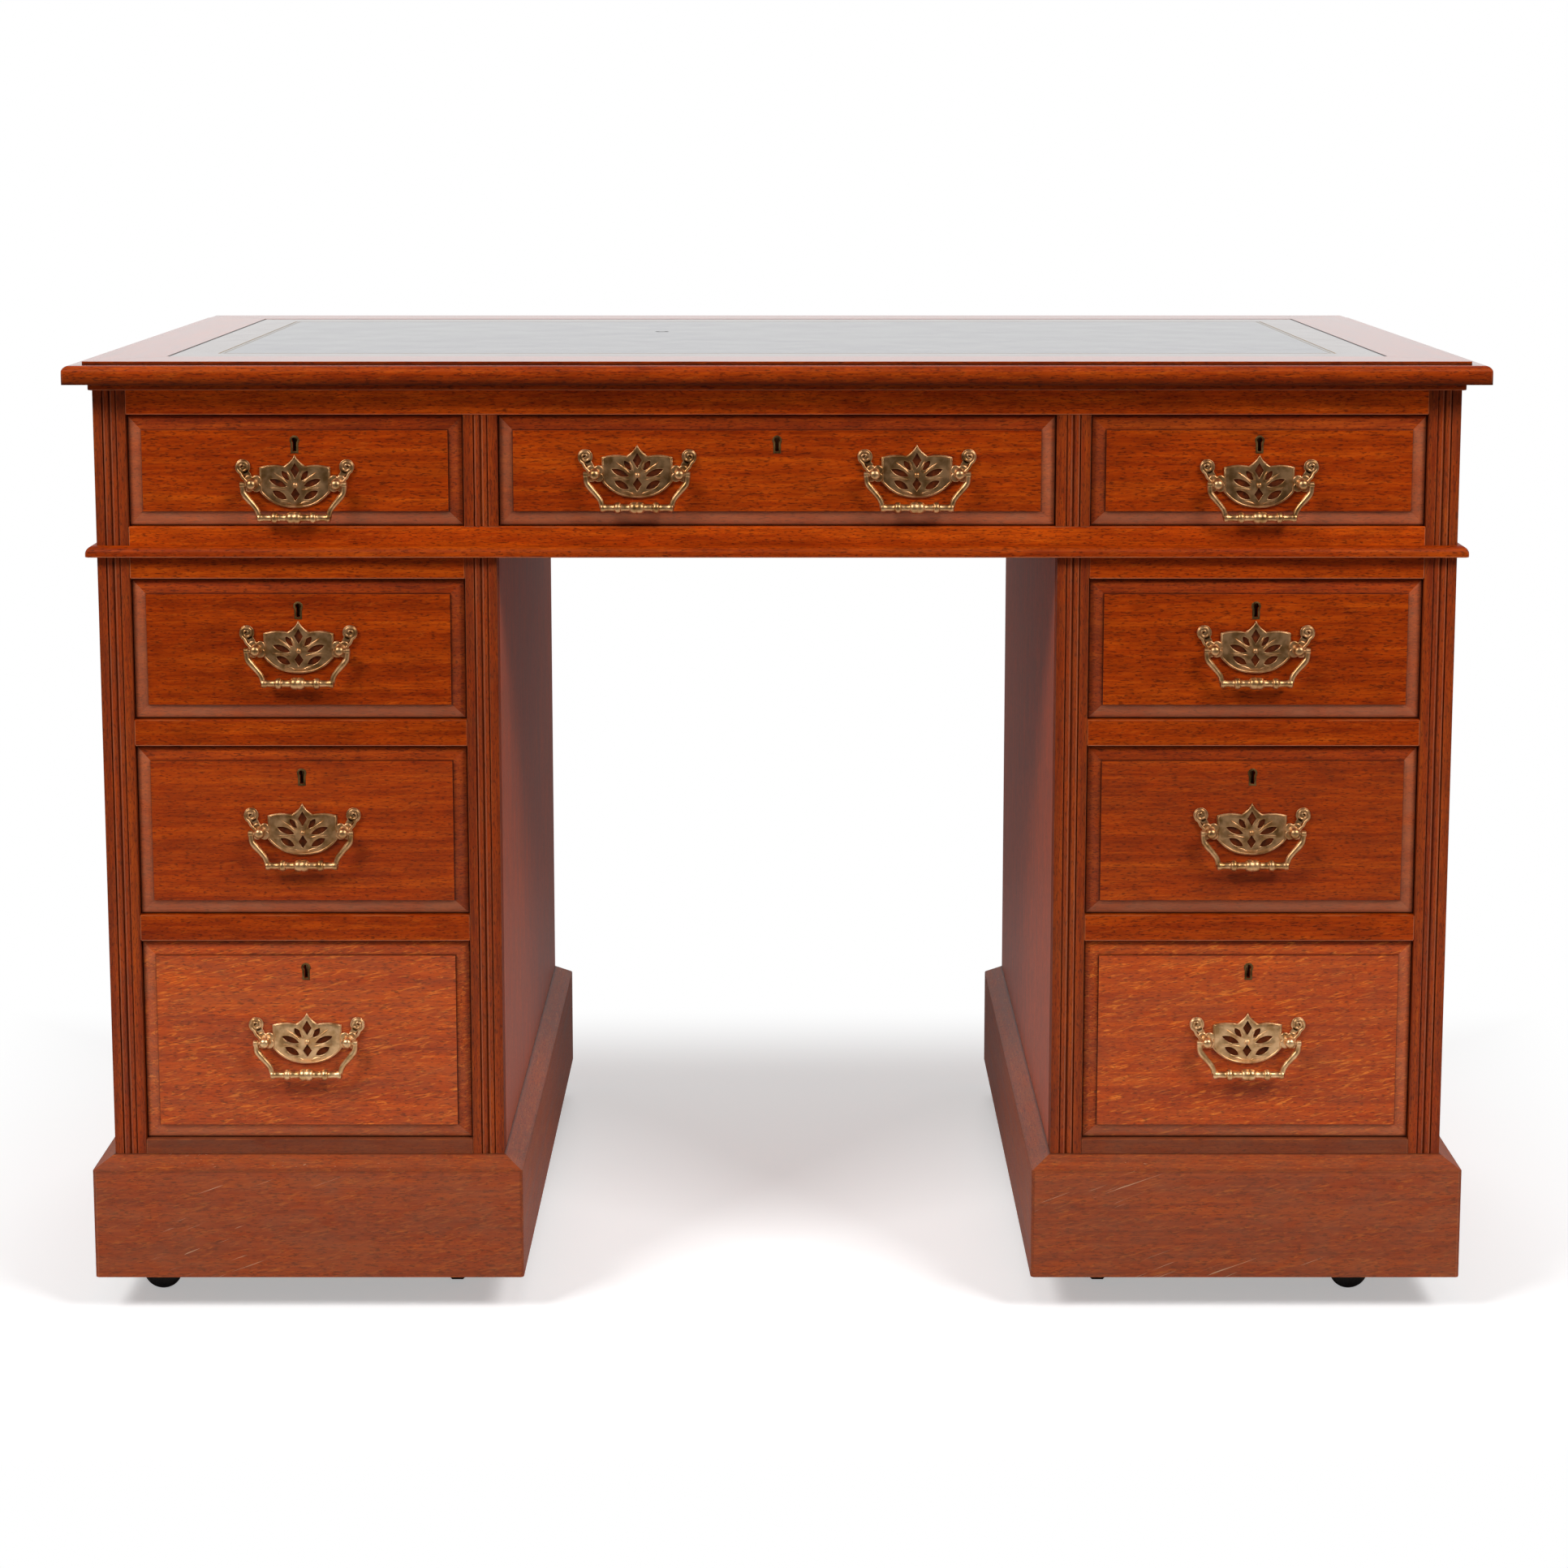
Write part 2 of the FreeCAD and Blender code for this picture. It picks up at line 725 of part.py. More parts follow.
def plate_outline():
    """The backplate's outline: a pointed finial, broad shoulders and a bowl below."""
    def point(x, z):
        return FreeCAD.Vector(x, 0, z)

    foot_x = plate_half_width * finial_foot_share
    foot_z = shoulder_height * (1 + finial_foot_rise_share)
    curve_x = plate_half_width * finial_curve_shares[0]
    curve_z = foot_z + (finial_height - foot_z) * finial_curve_shares[1]
    crown_x = plate_half_width * shoulder_crown_shares[0]
    crown_z = shoulder_height * shoulder_crown_shares[1]
    corner_x = plate_half_width * bowl_corner_shares[0]
    corner_z = -bowl_depth * bowl_corner_shares[1]
    turn_x = plate_half_width * bowl_curve_shares[0]
    turn_z = -bowl_depth * bowl_curve_shares[1]
    edges = [arc(point(-corner_x, corner_z), point(0, -bowl_depth), point(corner_x, corner_z))]
    for hand in (1, -1):
        edges += [
            arc(point(hand * corner_x, corner_z), point(hand * turn_x, turn_z),
                point(hand * plate_half_width, -bowl_side_height)),
            line(point(hand * plate_half_width, -bowl_side_height),
                 point(hand * plate_half_width, shoulder_height)),
            arc(point(hand * plate_half_width, shoulder_height), point(hand * crown_x, crown_z),
                point(hand * foot_x, foot_z)),
            arc(point(hand * foot_x, foot_z), point(hand * curve_x, curve_z),
                point(0, finial_height)),
        ]
    return Part.Face(Part.Wire(Part.__sortEdges__(edges)))


def diamond(height, size):
    """A pierced diamond on the plate's middle line."""
    half_x = size[0] / 2
    half_z = size[1] / 2
    return flat_face([FreeCAD.Vector(x, 0, height + z)
                      for x, z in ((half_x, 0), (0, half_z), (-half_x, 0), (0, -half_z))])


def leaf(place, size, angle, hand):
    """A pierced leaf: two arcs that meet in points, turned to its angle."""
    half_length = size[0] / 2
    half_width = size[1] / 2
    tip = FreeCAD.Vector(half_length, 0, 0)
    root = FreeCAD.Vector(-half_length, 0, 0)
    face = Part.Face(Part.Wire([
        arc(root, FreeCAD.Vector(0, 0, half_width), tip),
        arc(tip, FreeCAD.Vector(0, 0, -half_width), root),
    ]))
    face.rotate(ORIGIN, Y_AXIS, -hand * angle)
    face.translate(FreeCAD.Vector(hand * place[0], 0, place[1]))
    return face


def rosette(x):
    """The petals round a post, which overlap in the middle."""
    petals = []
    for number in range(rosette_petals):
        angle = 2 * math.pi * (number + 1 / 2) / rosette_petals
        petals.append(rod(x + rosette_petal_reach * math.cos(angle), 0,
                          rosette_petal_reach * math.sin(angle), -Y_AXIS, rosette_petal_radius,
                          rosette_thickness))
    return petals


def backplate():
    """A pierced backplate with an eared rosette at each post, flat on the plane Y = 0."""
    outward = FreeCAD.Vector(0, -plate_thickness, 0)
    pieces = [plate_outline().extrude(outward)]
    half = post_spacing / 2
    for hand in (-1, 1):
        pieces += rosette(hand * half)
        pieces.append(rod(hand * ear_reach, 0, shoulder_height, -Y_AXIS, ear_radius, plate_thickness))
        along = FreeCAD.Vector(hand * (ear_reach - half), 0, shoulder_height).normalize()
        across = FreeCAD.Vector(-along.z, 0, along.x) * (ear_stem_width / 2)
        low = FreeCAD.Vector(hand * half, 0, 0)
        high = FreeCAD.Vector(hand * ear_reach, 0, shoulder_height)
        stem = flat_face([low - across, low + across, high + across, high - across])
        pieces.append(stem.extrude(outward))
    plate = joined(pieces)
    holes = [diamond(top_diamond_height, top_diamond_size),
             diamond(low_diamond_height, low_diamond_size)]
    leaves = ((upper_leaf_place, upper_leaf_size, upper_leaf_angle),
              (middle_leaf_place, middle_leaf_size, middle_leaf_angle),
              (lower_leaf_place, lower_leaf_size, lower_leaf_angle))
    for place, size, angle in leaves:
        holes += [leaf(place, size, angle, hand) for hand in (-1, 1)]
    depth = rosette_thickness + 2 * overrun
    tools = []
    for hole in holes:
        hole.translate(FreeCAD.Vector(0, overrun, 0))
        tools.append(hole.extrude(FreeCAD.Vector(0, -depth, 0)))
    for hand in (-1, 1):
        tools.append(rod(hand * ear_reach, overrun, shoulder_height, -Y_AXIS, ear_eye_radius, depth))
        tools.append(rod(hand * half, overrun, 0, -Y_AXIS, post_shank_radius + post_fit, depth))
    return plate.cut(Part.makeCompound(tools))


def handle_post(hand):
    """A turned post: a shank through the front, and a head with an eye for the bail's pin."""
    x = hand * post_spacing / 2
    shank_length = front_thickness + nut_thickness + rosette_thickness
    shank = rod(x, -rosette_thickness, 0, Y_AXIS, post_shank_radius, shank_length)
    head = rod(x, -rosette_thickness, 0, -Y_AXIS, post_head_radius,
               post_head_reach - rosette_thickness)
    eye = rod(x - hand * pivot_depth, -pivot_reach, 0, X_AXIS * hand, pivot_radius + pivot_fit,
              post_head_radius + pivot_depth + overrun)
    return joined([shank, head]).cut(eye)


def handle_nut(hand):
    """A round nut that draws a post tight inside the drawer."""
    x = hand * post_spacing / 2
    blank = rod(x, front_thickness, 0, Y_AXIS, nut_radius, nut_thickness)
    bore = rod(x, front_thickness - overrun, 0, Y_AXIS, post_shank_radius + post_fit,
               nut_thickness + 2 * overrun)
    return blank.cut(bore)


def make_brassware(opening, plate, posts):
    """A drawer's backplates, posts and nuts, its keyhole plate and its lock."""
    solids = []
    for offset in opening.handle_offsets:
        for piece in [plate] + posts:
            copy = piece.copy()
            copy.translate(FreeCAD.Vector(opening.centre + offset, case_front, opening.handle_height))
            solids.append(copy)
    key = opening.key_height
    shield = keyhole(opening.centre, key - escutcheon_fit, case_front - escutcheon_proud,
                     escutcheon_thickness, escutcheon_rim)
    shield_cut = keyhole(opening.centre, key, case_front - overrun, front_thickness, 0)
    solids.append(shield.cut(shield_cut))
    lock_front = front_back - lock_depth
    lock_cut = keyhole(opening.centre, key, lock_front - overrun, lock_key_depth + overrun, 0)
    solids.append(lock_body(opening, 0).cut(lock_cut))
    save(f"{opening.name}_brassware", solids)


def bail_bar():
    """The turned bar of a bail: a barrel, two beads and two end knobs on a thin rod."""
    swells = (
        (0, bar_barrel_half_length, bar_barrel_radius),
        (bar_bead_place, bar_bead_half_length, bar_bead_radius),
        (bar_half_length, bar_knob_half_length, bar_knob_radius),
    )
    outline = [(-bar_half_length - bar_knob_half_length, 0)]
    mirrored = [(-place, half, radius) for place, half, radius in reversed(swells[1:])]
    for place, half, radius in mirrored + list(swells):
        outline += [
            (place - half, bar_radius), (place - half, radius - bar_chamfer),
            (place - half + bar_chamfer, radius), (place + half - bar_chamfer, radius),
            (place + half, radius - bar_chamfer), (place + half, bar_radius),
        ]
    outline.append((bar_half_length + bar_knob_half_length, 0))
    points = [FreeCAD.Vector(x, 0, radius) for x, radius in outline]
    bar = flat_face(points).revolve(ORIGIN, X_AXIS, 360)
    bar.translate(FreeCAD.Vector(0, 0, -bar_drop))
    return bar


def bail_shape():
    """A bail hanging from its pivot line, with its pins pointing inwards."""
    knuckle_start = post_spacing / 2 + post_head_radius + bail_side_gap
    knuckle_middle = knuckle_start + bail_knuckle_length / 2
    pin_start = post_spacing / 2
    pieces = [bail_bar()]
    for hand in (-1, 1):
        along = X_AXIS * hand
        pieces.append(rod(hand * pin_start, 0, 0, along, pivot_radius, knuckle_middle - pin_start))
        pieces.append(rod(hand * knuckle_start, 0, 0, along, bail_knuckle_radius, bail_knuckle_length))
        stops = [(0, 0), arm_knee_shares, arm_neck_shares, (1, 1)]
        inward = knuckle_middle - bar_half_length
        points = [FreeCAD.Vector(hand * (knuckle_middle - inward * share_x), 0, -bar_drop * share_z)
                  for share_x, share_z in stops]
        curve = Part.BSplineCurve()
        curve.interpolate(Points=points, InitialTangent=-Z_AXIS, FinalTangent=-Z_AXIS)
        ring = Part.Wire([Part.makeCircle(arm_radius, points[0], -Z_AXIS)])
        pieces.append(Part.Wire([curve.toShape()]).makePipeShell([ring], True, False))
    return joined(pieces)


def make_bails(opening, bail):
    """The bails that hang in front of a drawer."""
    for offset in opening.handle_offsets:
        copy = bail.copy()
        copy.translate(FreeCAD.Vector(opening.centre + offset, case_front - pivot_reach,
                                      opening.handle_height))
        save(bail_name(opening, offset), [copy])


def bail_name(opening, offset):
    """A bail's node name, with its hand where a drawer has two."""
    if len(opening.handle_offsets) == 1:
        return f"{opening.name}_bail"
    return f"{opening.name}_bail_{'left' if offset < 0 else 'right'}"


def castor_wheel():
    """A wheel with eased edges, on the Y axis."""
    half = wheel_width / 2
    bore = axle_radius + axle_fit
    rim = wheel_radius - wheel_chamfer
    outline = ((bore, -half), (rim, -half), (wheel_radius, wheel_chamfer - half),
               (wheel_radius, half - wheel_chamfer), (rim, half), (bore, half))
    points = [FreeCAD.Vector(0, y, radius) for radius, y in outline]
    return flat_face(points).revolve(ORIGIN, Y_AXIS, 360)


def castor_horn():
    """A castor's horn, turned so that its wheel trails along +X: the frame and its axle."""
    gap = wheel_width / 2 + horn_side_gap
    outer = gap + horn_arm_thickness
    crown_floor = 2 * wheel_radius + horn_crown_gap
    crown_top = crown_floor + horn_crown_thickness
    collar_top = case_floor_clearance - collar_gap
    pieces = [
        rod(0, 0, crown_floor, Z_AXIS, horn_crown_radius, horn_crown_thickness),
        rod(0, 0, crown_top, Z_AXIS, collar_radius, collar_top - crown_top),
        rod(0, 0, collar_top, Z_AXIS, stem_radius, stem_length),
        block(0, horn_trail, -outer, outer, crown_floor, crown_top),
    ]
    for inner_y in (-outer, gap):
        arm = flat_face([
            FreeCAD.Vector(0, inner_y, crown_top),
            FreeCAD.Vector(0, inner_y, crown_floor),
            FreeCAD.Vector(horn_trail - horn_boss_radius, inner_y, wheel_radius),
            FreeCAD.Vector(horn_trail + horn_boss_radius, inner_y, wheel_radius),
            FreeCAD.Vector(horn_trail, inner_y, crown_top),
        ])
        pieces.append(arm.extrude(Y_AXIS * horn_arm_thickness))
        pieces.append(rod(horn_trail, inner_y, wheel_radius, Y_AXIS, horn_boss_radius,
                          horn_arm_thickness))
    seat = rod(horn_trail, -outer - overrun, wheel_radius, Y_AXIS, axle_radius + axle_seat,
               2 * (outer + overrun))
    axle = rod(horn_trail, -outer, wheel_radius, Y_AXIS, axle_radius, 2 * outer)
    return joined(pieces).cut(seat), axle


def make_castors():
    """Eight castors, each a horn with its axle and a wheel."""
    horn, axle = castor_horn()
    wheel = castor_wheel()
    wheel.translate(FreeCAD.Vector(horn_trail, 0, wheel_radius))
    for name, x, y, angle in castor_places():
        placed = []
        for shape in (horn, axle, wheel):
            copy = shape.copy()
            copy.rotate(ORIGIN, Z_AXIS, angle)
            copy.translate(FreeCAD.Vector(x, y, 0))
            placed.append(copy)
        save(f"{name}_castor_horn", placed[:2])
        save(f"{name}_castor_wheel", placed[2:])


def main():
    """Build every node of the desk."""
    os.makedirs("parts", exist_ok=True)
    places = openings()
    frieze = [place for place in places if place.floor == frieze_floor]
    make_top()
    make_frieze(frieze)
    for hand, left in (("left", -case_half_width), ("right", case_half_width - pedestal_width)):
        own = [place for place in places if place.name.startswith(hand)]
        make_pedestal(f"{hand}_pedestal_case", left, own)
        make_plinth(f"{hand}_plinth", left)
    plate = backplate()
    posts = [handle_post(-1), handle_post(1), handle_nut(-1), handle_nut(1)]
    bail = bail_shape()
    for place in places:
        box = DrawerBox(place)
        make_drawer_front(place, box)
        make_drawer_box(place, box)
        make_brassware(place, plate, posts)
        make_bails(place, bail)
    make_castors()


if __name__ == "__main__":
    main()
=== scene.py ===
import logging
import math
import random
from dataclasses import dataclass, field
from enum import Enum
from typing import Any

import bpy
from mathutils import Matrix, Vector


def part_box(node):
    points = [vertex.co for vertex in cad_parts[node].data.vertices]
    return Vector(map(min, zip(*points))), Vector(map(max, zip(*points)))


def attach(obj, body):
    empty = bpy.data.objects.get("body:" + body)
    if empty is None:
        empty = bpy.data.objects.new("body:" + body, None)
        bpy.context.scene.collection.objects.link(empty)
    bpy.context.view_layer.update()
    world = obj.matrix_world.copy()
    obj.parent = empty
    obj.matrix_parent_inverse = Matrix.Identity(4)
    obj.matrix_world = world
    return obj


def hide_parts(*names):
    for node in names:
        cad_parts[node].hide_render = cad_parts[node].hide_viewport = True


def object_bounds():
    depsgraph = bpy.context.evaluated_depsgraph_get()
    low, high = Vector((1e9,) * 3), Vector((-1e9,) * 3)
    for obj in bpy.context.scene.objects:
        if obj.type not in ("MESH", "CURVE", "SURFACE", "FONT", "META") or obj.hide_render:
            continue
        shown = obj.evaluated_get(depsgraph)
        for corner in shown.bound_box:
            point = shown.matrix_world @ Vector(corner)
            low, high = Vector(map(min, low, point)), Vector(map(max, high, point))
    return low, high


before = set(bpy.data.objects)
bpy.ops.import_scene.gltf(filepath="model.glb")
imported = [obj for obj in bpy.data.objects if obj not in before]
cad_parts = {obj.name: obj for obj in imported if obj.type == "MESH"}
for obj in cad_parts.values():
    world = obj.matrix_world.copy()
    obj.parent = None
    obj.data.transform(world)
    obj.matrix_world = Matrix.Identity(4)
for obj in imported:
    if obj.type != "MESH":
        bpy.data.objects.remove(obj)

CAD_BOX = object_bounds()
MM = 0.001
LOG = logging.getLogger("pedestal_desk")

Point = tuple[float, float, float]
Spot = tuple[float, float]
Outline = list[Spot]
Colour = tuple[float, float, float, float]
Cut = tuple[Point, Point]
Socket = bpy.types.NodeSocket
Material = bpy.types.Material
Piece = bpy.types.Object

WHITE: Colour = (1.0, 1.0, 1.0, 1.0)


class Grain(Enum):
    """The way that a board's fibres run, as the index of an axis."""

    ACROSS = 0
    DEEP = 1
    UPRIGHT = 2


class Hand(Enum):
    """One side of the desk, as its sign along X."""

    LEFT = -1
    RIGHT = 1


class Polish(Enum):
    """How far the polish on a board's upper and side faces was built up."""

    THIN = "thin"
    SATIN = "satin"
    FULL = "full"


def to_linear(hex_colour: str) -> Colour:
    """Turn an sRGB hex colour to linear values.

    Args:
        hex_colour: six hex digits after a hash sign.

    Returns:
        Linear red, green and blue, and an alpha of 1.
    """
    parts = [int(hex_colour[i:i + 2], 16) / 255 for i in (1, 3, 5)]
    red, green, blue = (c / 12.92 if c <= 0.04045 else ((c + 0.055) / 1.055) ** 2.4 for c in parts)
    return red, green, blue, 1.0


class Sheet:
    """A node tree being drawn: each method adds a node and gives back its socket."""

    def __init__(self, tree: bpy.types.NodeTree) -> None:
        """Clear a tree and draw on it."""
        self.tree = tree
        tree.nodes.clear()

    def add(self, kind: str, settings: dict[Any, Any] | None = None,
            links: dict[Any, Socket] | None = None) -> bpy.types.Node:
        """Add a node with its settings and its incoming links.

        Args:
            kind: the node's type, without the part that all shader nodes share.
            settings: properties by name, or input values by the input's name or number.
            links: sockets to link from, by the input's name or number.

        Returns:
            The new node.
        """
        node = self.tree.nodes.new(f"ShaderNode{kind}")
        for key, value in (settings or {}).items():
            if isinstance(key, int) or key in node.inputs:
                node.inputs[key].default_value = value
            else:
                setattr(node, key, value)
        for key, socket in (links or {}).items():
            self.tree.links.new(socket, node.inputs[key])
        return node

    def math(self, operation: str, *values: float | Socket) -> Socket:
        """One sum on numbers and sockets, in the order of the node's inputs."""
        fixed = {i: value for i, value in enumerate(values) if isinstance(value, (int, float))}
        links = {i: value for i, value in enumerate(values) if i not in fixed}
        return self.add("Math", {"operation": operation, **fixed}, links).outputs[0]

    def remap(self, value: Socket, low: float, high: float, start: float = 0.0, end: float = 1.0,
              kind: str = "SMOOTHSTEP") -> Socket:
        """Carry a value from one range to another, held at the ends."""
        return self.add("MapRange", {"interpolation_type": kind, "From Min": low, "From Max": high,
                                     "To Min": start, "To Max": end}, {"Value": value}).outputs[0]

    def ramp(self, value: Socket, *stops: tuple[float, Colour]) -> Socket:
        """Colours laid along a value, each at its stop."""
        node = self.add("ValToRGB", {}, {"Fac": value})
        elements = node.color_ramp.elements
        while len(elements) < len(stops):
            elements.new(1.0)
        for element, (position, colour) in zip(elements, stops):
            element.position = position
            element.color = colour
        return node.outputs["Color"]

    def mix(self, share: Socket, under: Socket, over: str) -> Socket:
        """Lay an sRGB hex colour over another."""
        return self.add("Mix", {"data_type": "RGBA", 7: to_linear(over)}, {0: share, 6: under}).outputs[2]

    def multiply(self, under: Socket, over: Socket) -> Socket:
        """Tint one colour with another."""
        return self.add("Mix", {"data_type": "RGBA", "blend_type": "MULTIPLY", 0: 1.0},
                        {6: under, 7: over}).outputs[2]

    def noise(self, place: Socket, size_mm: float, detail: float) -> Socket:
        """Noise with patches as long as they are wide."""
        return self.add("TexNoise", {"Scale": 1 / (size_mm * MM), "Detail": detail}, {"Vector": place}).outputs["Fac"]

    def place(self) -> Socket:
        """The object's own coordinates, in metres."""
        return self.add("TexCoord").outputs["Object"]

    def attribute(self, name: str, output: str = "Fac") -> Socket:
        """What the mesh carries under a name."""
        return self.add("Attribute", {"attribute_name": name}).outputs[output]

    def split(self, vector: Socket) -> tuple[Socket, Socket, Socket]:
        """A vector's three parts."""
        node = self.add("SeparateXYZ", {}, {"Vector": vector})
        return node.outputs["X"], node.outputs["Y"], node.outputs["Z"]

    def bump(self, height: Socket, strength: float, depth_mm: float, invert: bool = False) -> Socket:
        """The normals of a surface with small heights or, inverted, hollows."""
        return self.add("Bump", {"Strength": strength, "Distance": depth_mm * MM, "invert": invert},
                        {"Height": height}).outputs["Normal"]

    def surface(self, settings: dict[Any, Any], links: dict[Any, Socket]) -> None:
        """End the material with its shader."""
        shader = self.add("BsdfPrincipled", settings, links)
        self.add("OutputMaterial", {}, {"Surface": shader.outputs["BSDF"]})


def new_material(name: str) -> tuple[Material, Sheet]:
    """Make an empty node material.

    Args:
        name: the material's name.

    Returns:
        The material and the sheet to draw its nodes on.
    """
    material = bpy.data.materials.new(name)
    material.use_nodes = True
    return material, Sheet(material.node_tree)


@dataclass(frozen=True)
class Streaks:
    """Noise drawn out along the grain: its patches' size, how they wander and lean, and what its mask keeps."""

    length_mm: float
    width_mm: float
    detail: float
    wander: float
    low: float = 0.0
    high: float = 1.0
    strength: float = 1.0
    turn: float = 0.0

    def noise(self, sheet: Sheet, place: Socket) -> Socket:
        """The noise over a board's own coordinates, in metres."""
        if self.turn:
            lean = (0.0, math.radians(self.turn), 0.0)
            place = sheet.add("Mapping", {"Rotation": lean}, {"Vector": place}).outputs["Vector"]
        along, across = 1 / (self.length_mm * MM), 1 / (self.width_mm * MM)
        spread = sheet.add("Mapping", {"Scale": (along, across, across)}, {"Vector": place})
        return sheet.add("TexNoise", {"Scale": 1.0, "Detail": self.detail, "Distortion": self.wander},
                         {"Vector": spread.outputs["Vector"]}).outputs["Fac"]

    def mask(self, sheet: Sheet, place: Socket) -> Socket:
        """The noise as a soft-edged mask."""
        return sheet.remap(self.noise(sheet, place), self.low, self.high, 0.0, self.strength)


@dataclass(frozen=True)
class OakFinish:
    """Quarter-sawn oak in boards, stained or bare.

    The boards carry their own coordinates in the attribute board_place, with the grain along its X,
    and board_look holds each board's tone, scratches and figure.
    """

    name: str
    dark: str
    middle: str
    light: str
    pore: str
    fleck: str
    worn: str
    roughness: float
    coat: float
    coat_roughness: float
    specular: float = 0.06
    # Old polish and painted shade: the colour laid in corners, quirks, gaps and over shaded bevels.
    dark_polish_and_shade: str = "#1c0702"
    # Paled polish and painted sheen: the pale colour mixed in by each face's haze.
    faded_and_sheen: str = "#d9936d"
    scratch: str = "#d9b48c"
    stops: Point = (0.26, 0.5, 0.74)
    streak: float = 0.19
    streak_stops: Spot = (0.32, 0.68)
    streak_warmth: Point = (1.0, 1.6, 2.0)
    mottle: float = 0.16
    mottle_range: Spot = (0.3, 0.7)
    fade_and_sheen: Spot = (1.2, 0.4)
    pore_share: float = 0.64
    pore_depth: float = 0.3
    pore_depth_mm: float = 0.3
    dark_polish_and_shade_share: float = 0.9
    gloss_spread: float = 0.16
    lining_look: Point = (1.0, 0.0, 0.2)
    lining_square: float = 0.7
    figure: Streaks = Streaks(260.0, 8.0, 4.0, 0.4)
    lines: Streaks = Streaks(26.0, 1.7, 3.0, 0.4)
    clouds: Streaks = Streaks(34.0, 15.0, 3.0, 0.5)
    flecks: Streaks = Streaks(19.0, 2.6, 2.0, 1.6, 0.52, 0.74, turn=14.0)
    # Oak's pores are about 0.3 mm wide, too fine to show here, so they are drawn coarser.
    pores: Streaks = Streaks(4.5, 0.9, 2.0, 0.3, 0.52, 0.68)
    scuffs: Streaks = Streaks(30.0, 9.0, 3.0, 0.5, 0.42, 0.62, 0.55)
    scratches: Streaks = Streaks(46.0, 1.2, 1.0, 0.8, 0.71, 0.76, 0.5, 21.0)
    knocks: Streaks = Streaks(110.0, 60.0, 1.0, 0.0, 0.6, 0.66)

    def object_place(self, sheet: Sheet) -> Socket:
        """Coordinates for a drawer's box, with the grain front to back but across on its back board."""
        coords = sheet.add("TexCoord")
        x, y, z = sheet.split(coords.outputs["Object"])
        facing = sheet.split(coords.outputs["Normal"])[1]
        turned = sheet.add("CombineXYZ", {}, {"X": y, "Y": x, "Z": z}).outputs[0]
        square = sheet.math("GREATER_THAN", sheet.math("ABSOLUTE", facing), self.lining_square)
        return sheet.add("Mix", {"data_type": "VECTOR"},
                         {0: square, 4: turned, 5: coords.outputs["Object"]}).outputs[1]

    def build(self, from_boards: bool = True) -> Material:
        """Oak under thin polish: dark open pores along the grain, pale rays, worn arrises, painted shade in its
        corners and painted sheen on some faces.

        Args:
            from_boards: whether the mesh carries its boards' own coordinates.

        Returns:
            The material.
        """
        material, sheet = new_material(self.name)
        if from_boards:
            place, look = (sheet.attribute(name, "Vector") for name in ("board_place", "board_look"))
        else:
            place = self.object_place(sheet)
            look = sheet.add("CombineXYZ", dict(zip("XYZ", self.lining_look))).outputs[0]
        worn, haze, dark_polish_and_shade = (sheet.attribute(name) for name in ("board_worn", "board_haze_and_sheen", "board_dark_polish_and_shade"))
        tone, scratched, figured = sheet.split(look)
        figure = self.figure.noise(sheet, place)
        wood = sheet.ramp(figure, *zip(self.stops, map(to_linear, (self.dark, self.middle, self.light))))
        streaks = sheet.ramp(self.lines.noise(sheet, place), *(
            (stop, (*(1 + sign * self.streak * share for share in self.streak_warmth), 1.0))
            for stop, sign in zip(self.streak_stops, (1, -1))))
        clouds = self.clouds.noise(sheet, place)
        mottle = sheet.remap(clouds, *self.mottle_range, 1 + self.mottle, 1 - self.mottle, "LINEAR")
        streaked = sheet.multiply(streaks, sheet.math("MULTIPLY", mottle, tone))
        wood = sheet.mix(sheet.math("MULTIPLY", self.flecks.mask(sheet, place), figured), wood, self.fleck)
        pores = self.pores.mask(sheet, place)
        wood = sheet.mix(sheet.math("MULTIPLY", pores, self.pore_share), sheet.multiply(wood, streaked), self.pore)
        # Paled polish and painted sheen: on the front bevels and the kneehole sides the haze stands in for reflected
        # light.
        fade_and_sheen = sheet.math("MULTIPLY", sheet.math("MULTIPLY_ADD", clouds, *self.fade_and_sheen), haze)
        wood = sheet.mix(fade_and_sheen, wood, self.faded_and_sheen)
        wood = sheet.mix(sheet.math("MULTIPLY", self.scuffs.mask(sheet, place), worn), wood, self.worn)
        knocked = sheet.math("MULTIPLY", self.scratches.mask(sheet, place), self.knocks.mask(sheet, place))
        wood = sheet.mix(sheet.math("MULTIPLY", knocked, scratched), wood, self.scratch)
        # Painted shade with some old polish: darkens corners, quirks, gaps and the bevels away from the lamps.
        wood = sheet.mix(sheet.math("MULTIPLY", dark_polish_and_shade, self.dark_polish_and_shade_share), wood, self.dark_polish_and_shade)
        gloss = sheet.math("MULTIPLY_ADD", figure, self.gloss_spread, self.roughness)
        sheet.surface({"Coat Weight": self.coat, "Coat Roughness": self.coat_roughness,
                       "Specular IOR Level": self.specular},
                      {"Base Color": wood, "Roughness": gloss,
                       "Normal": sheet.bump(pores, self.pore_depth, self.pore_depth_mm, True)})
        return material


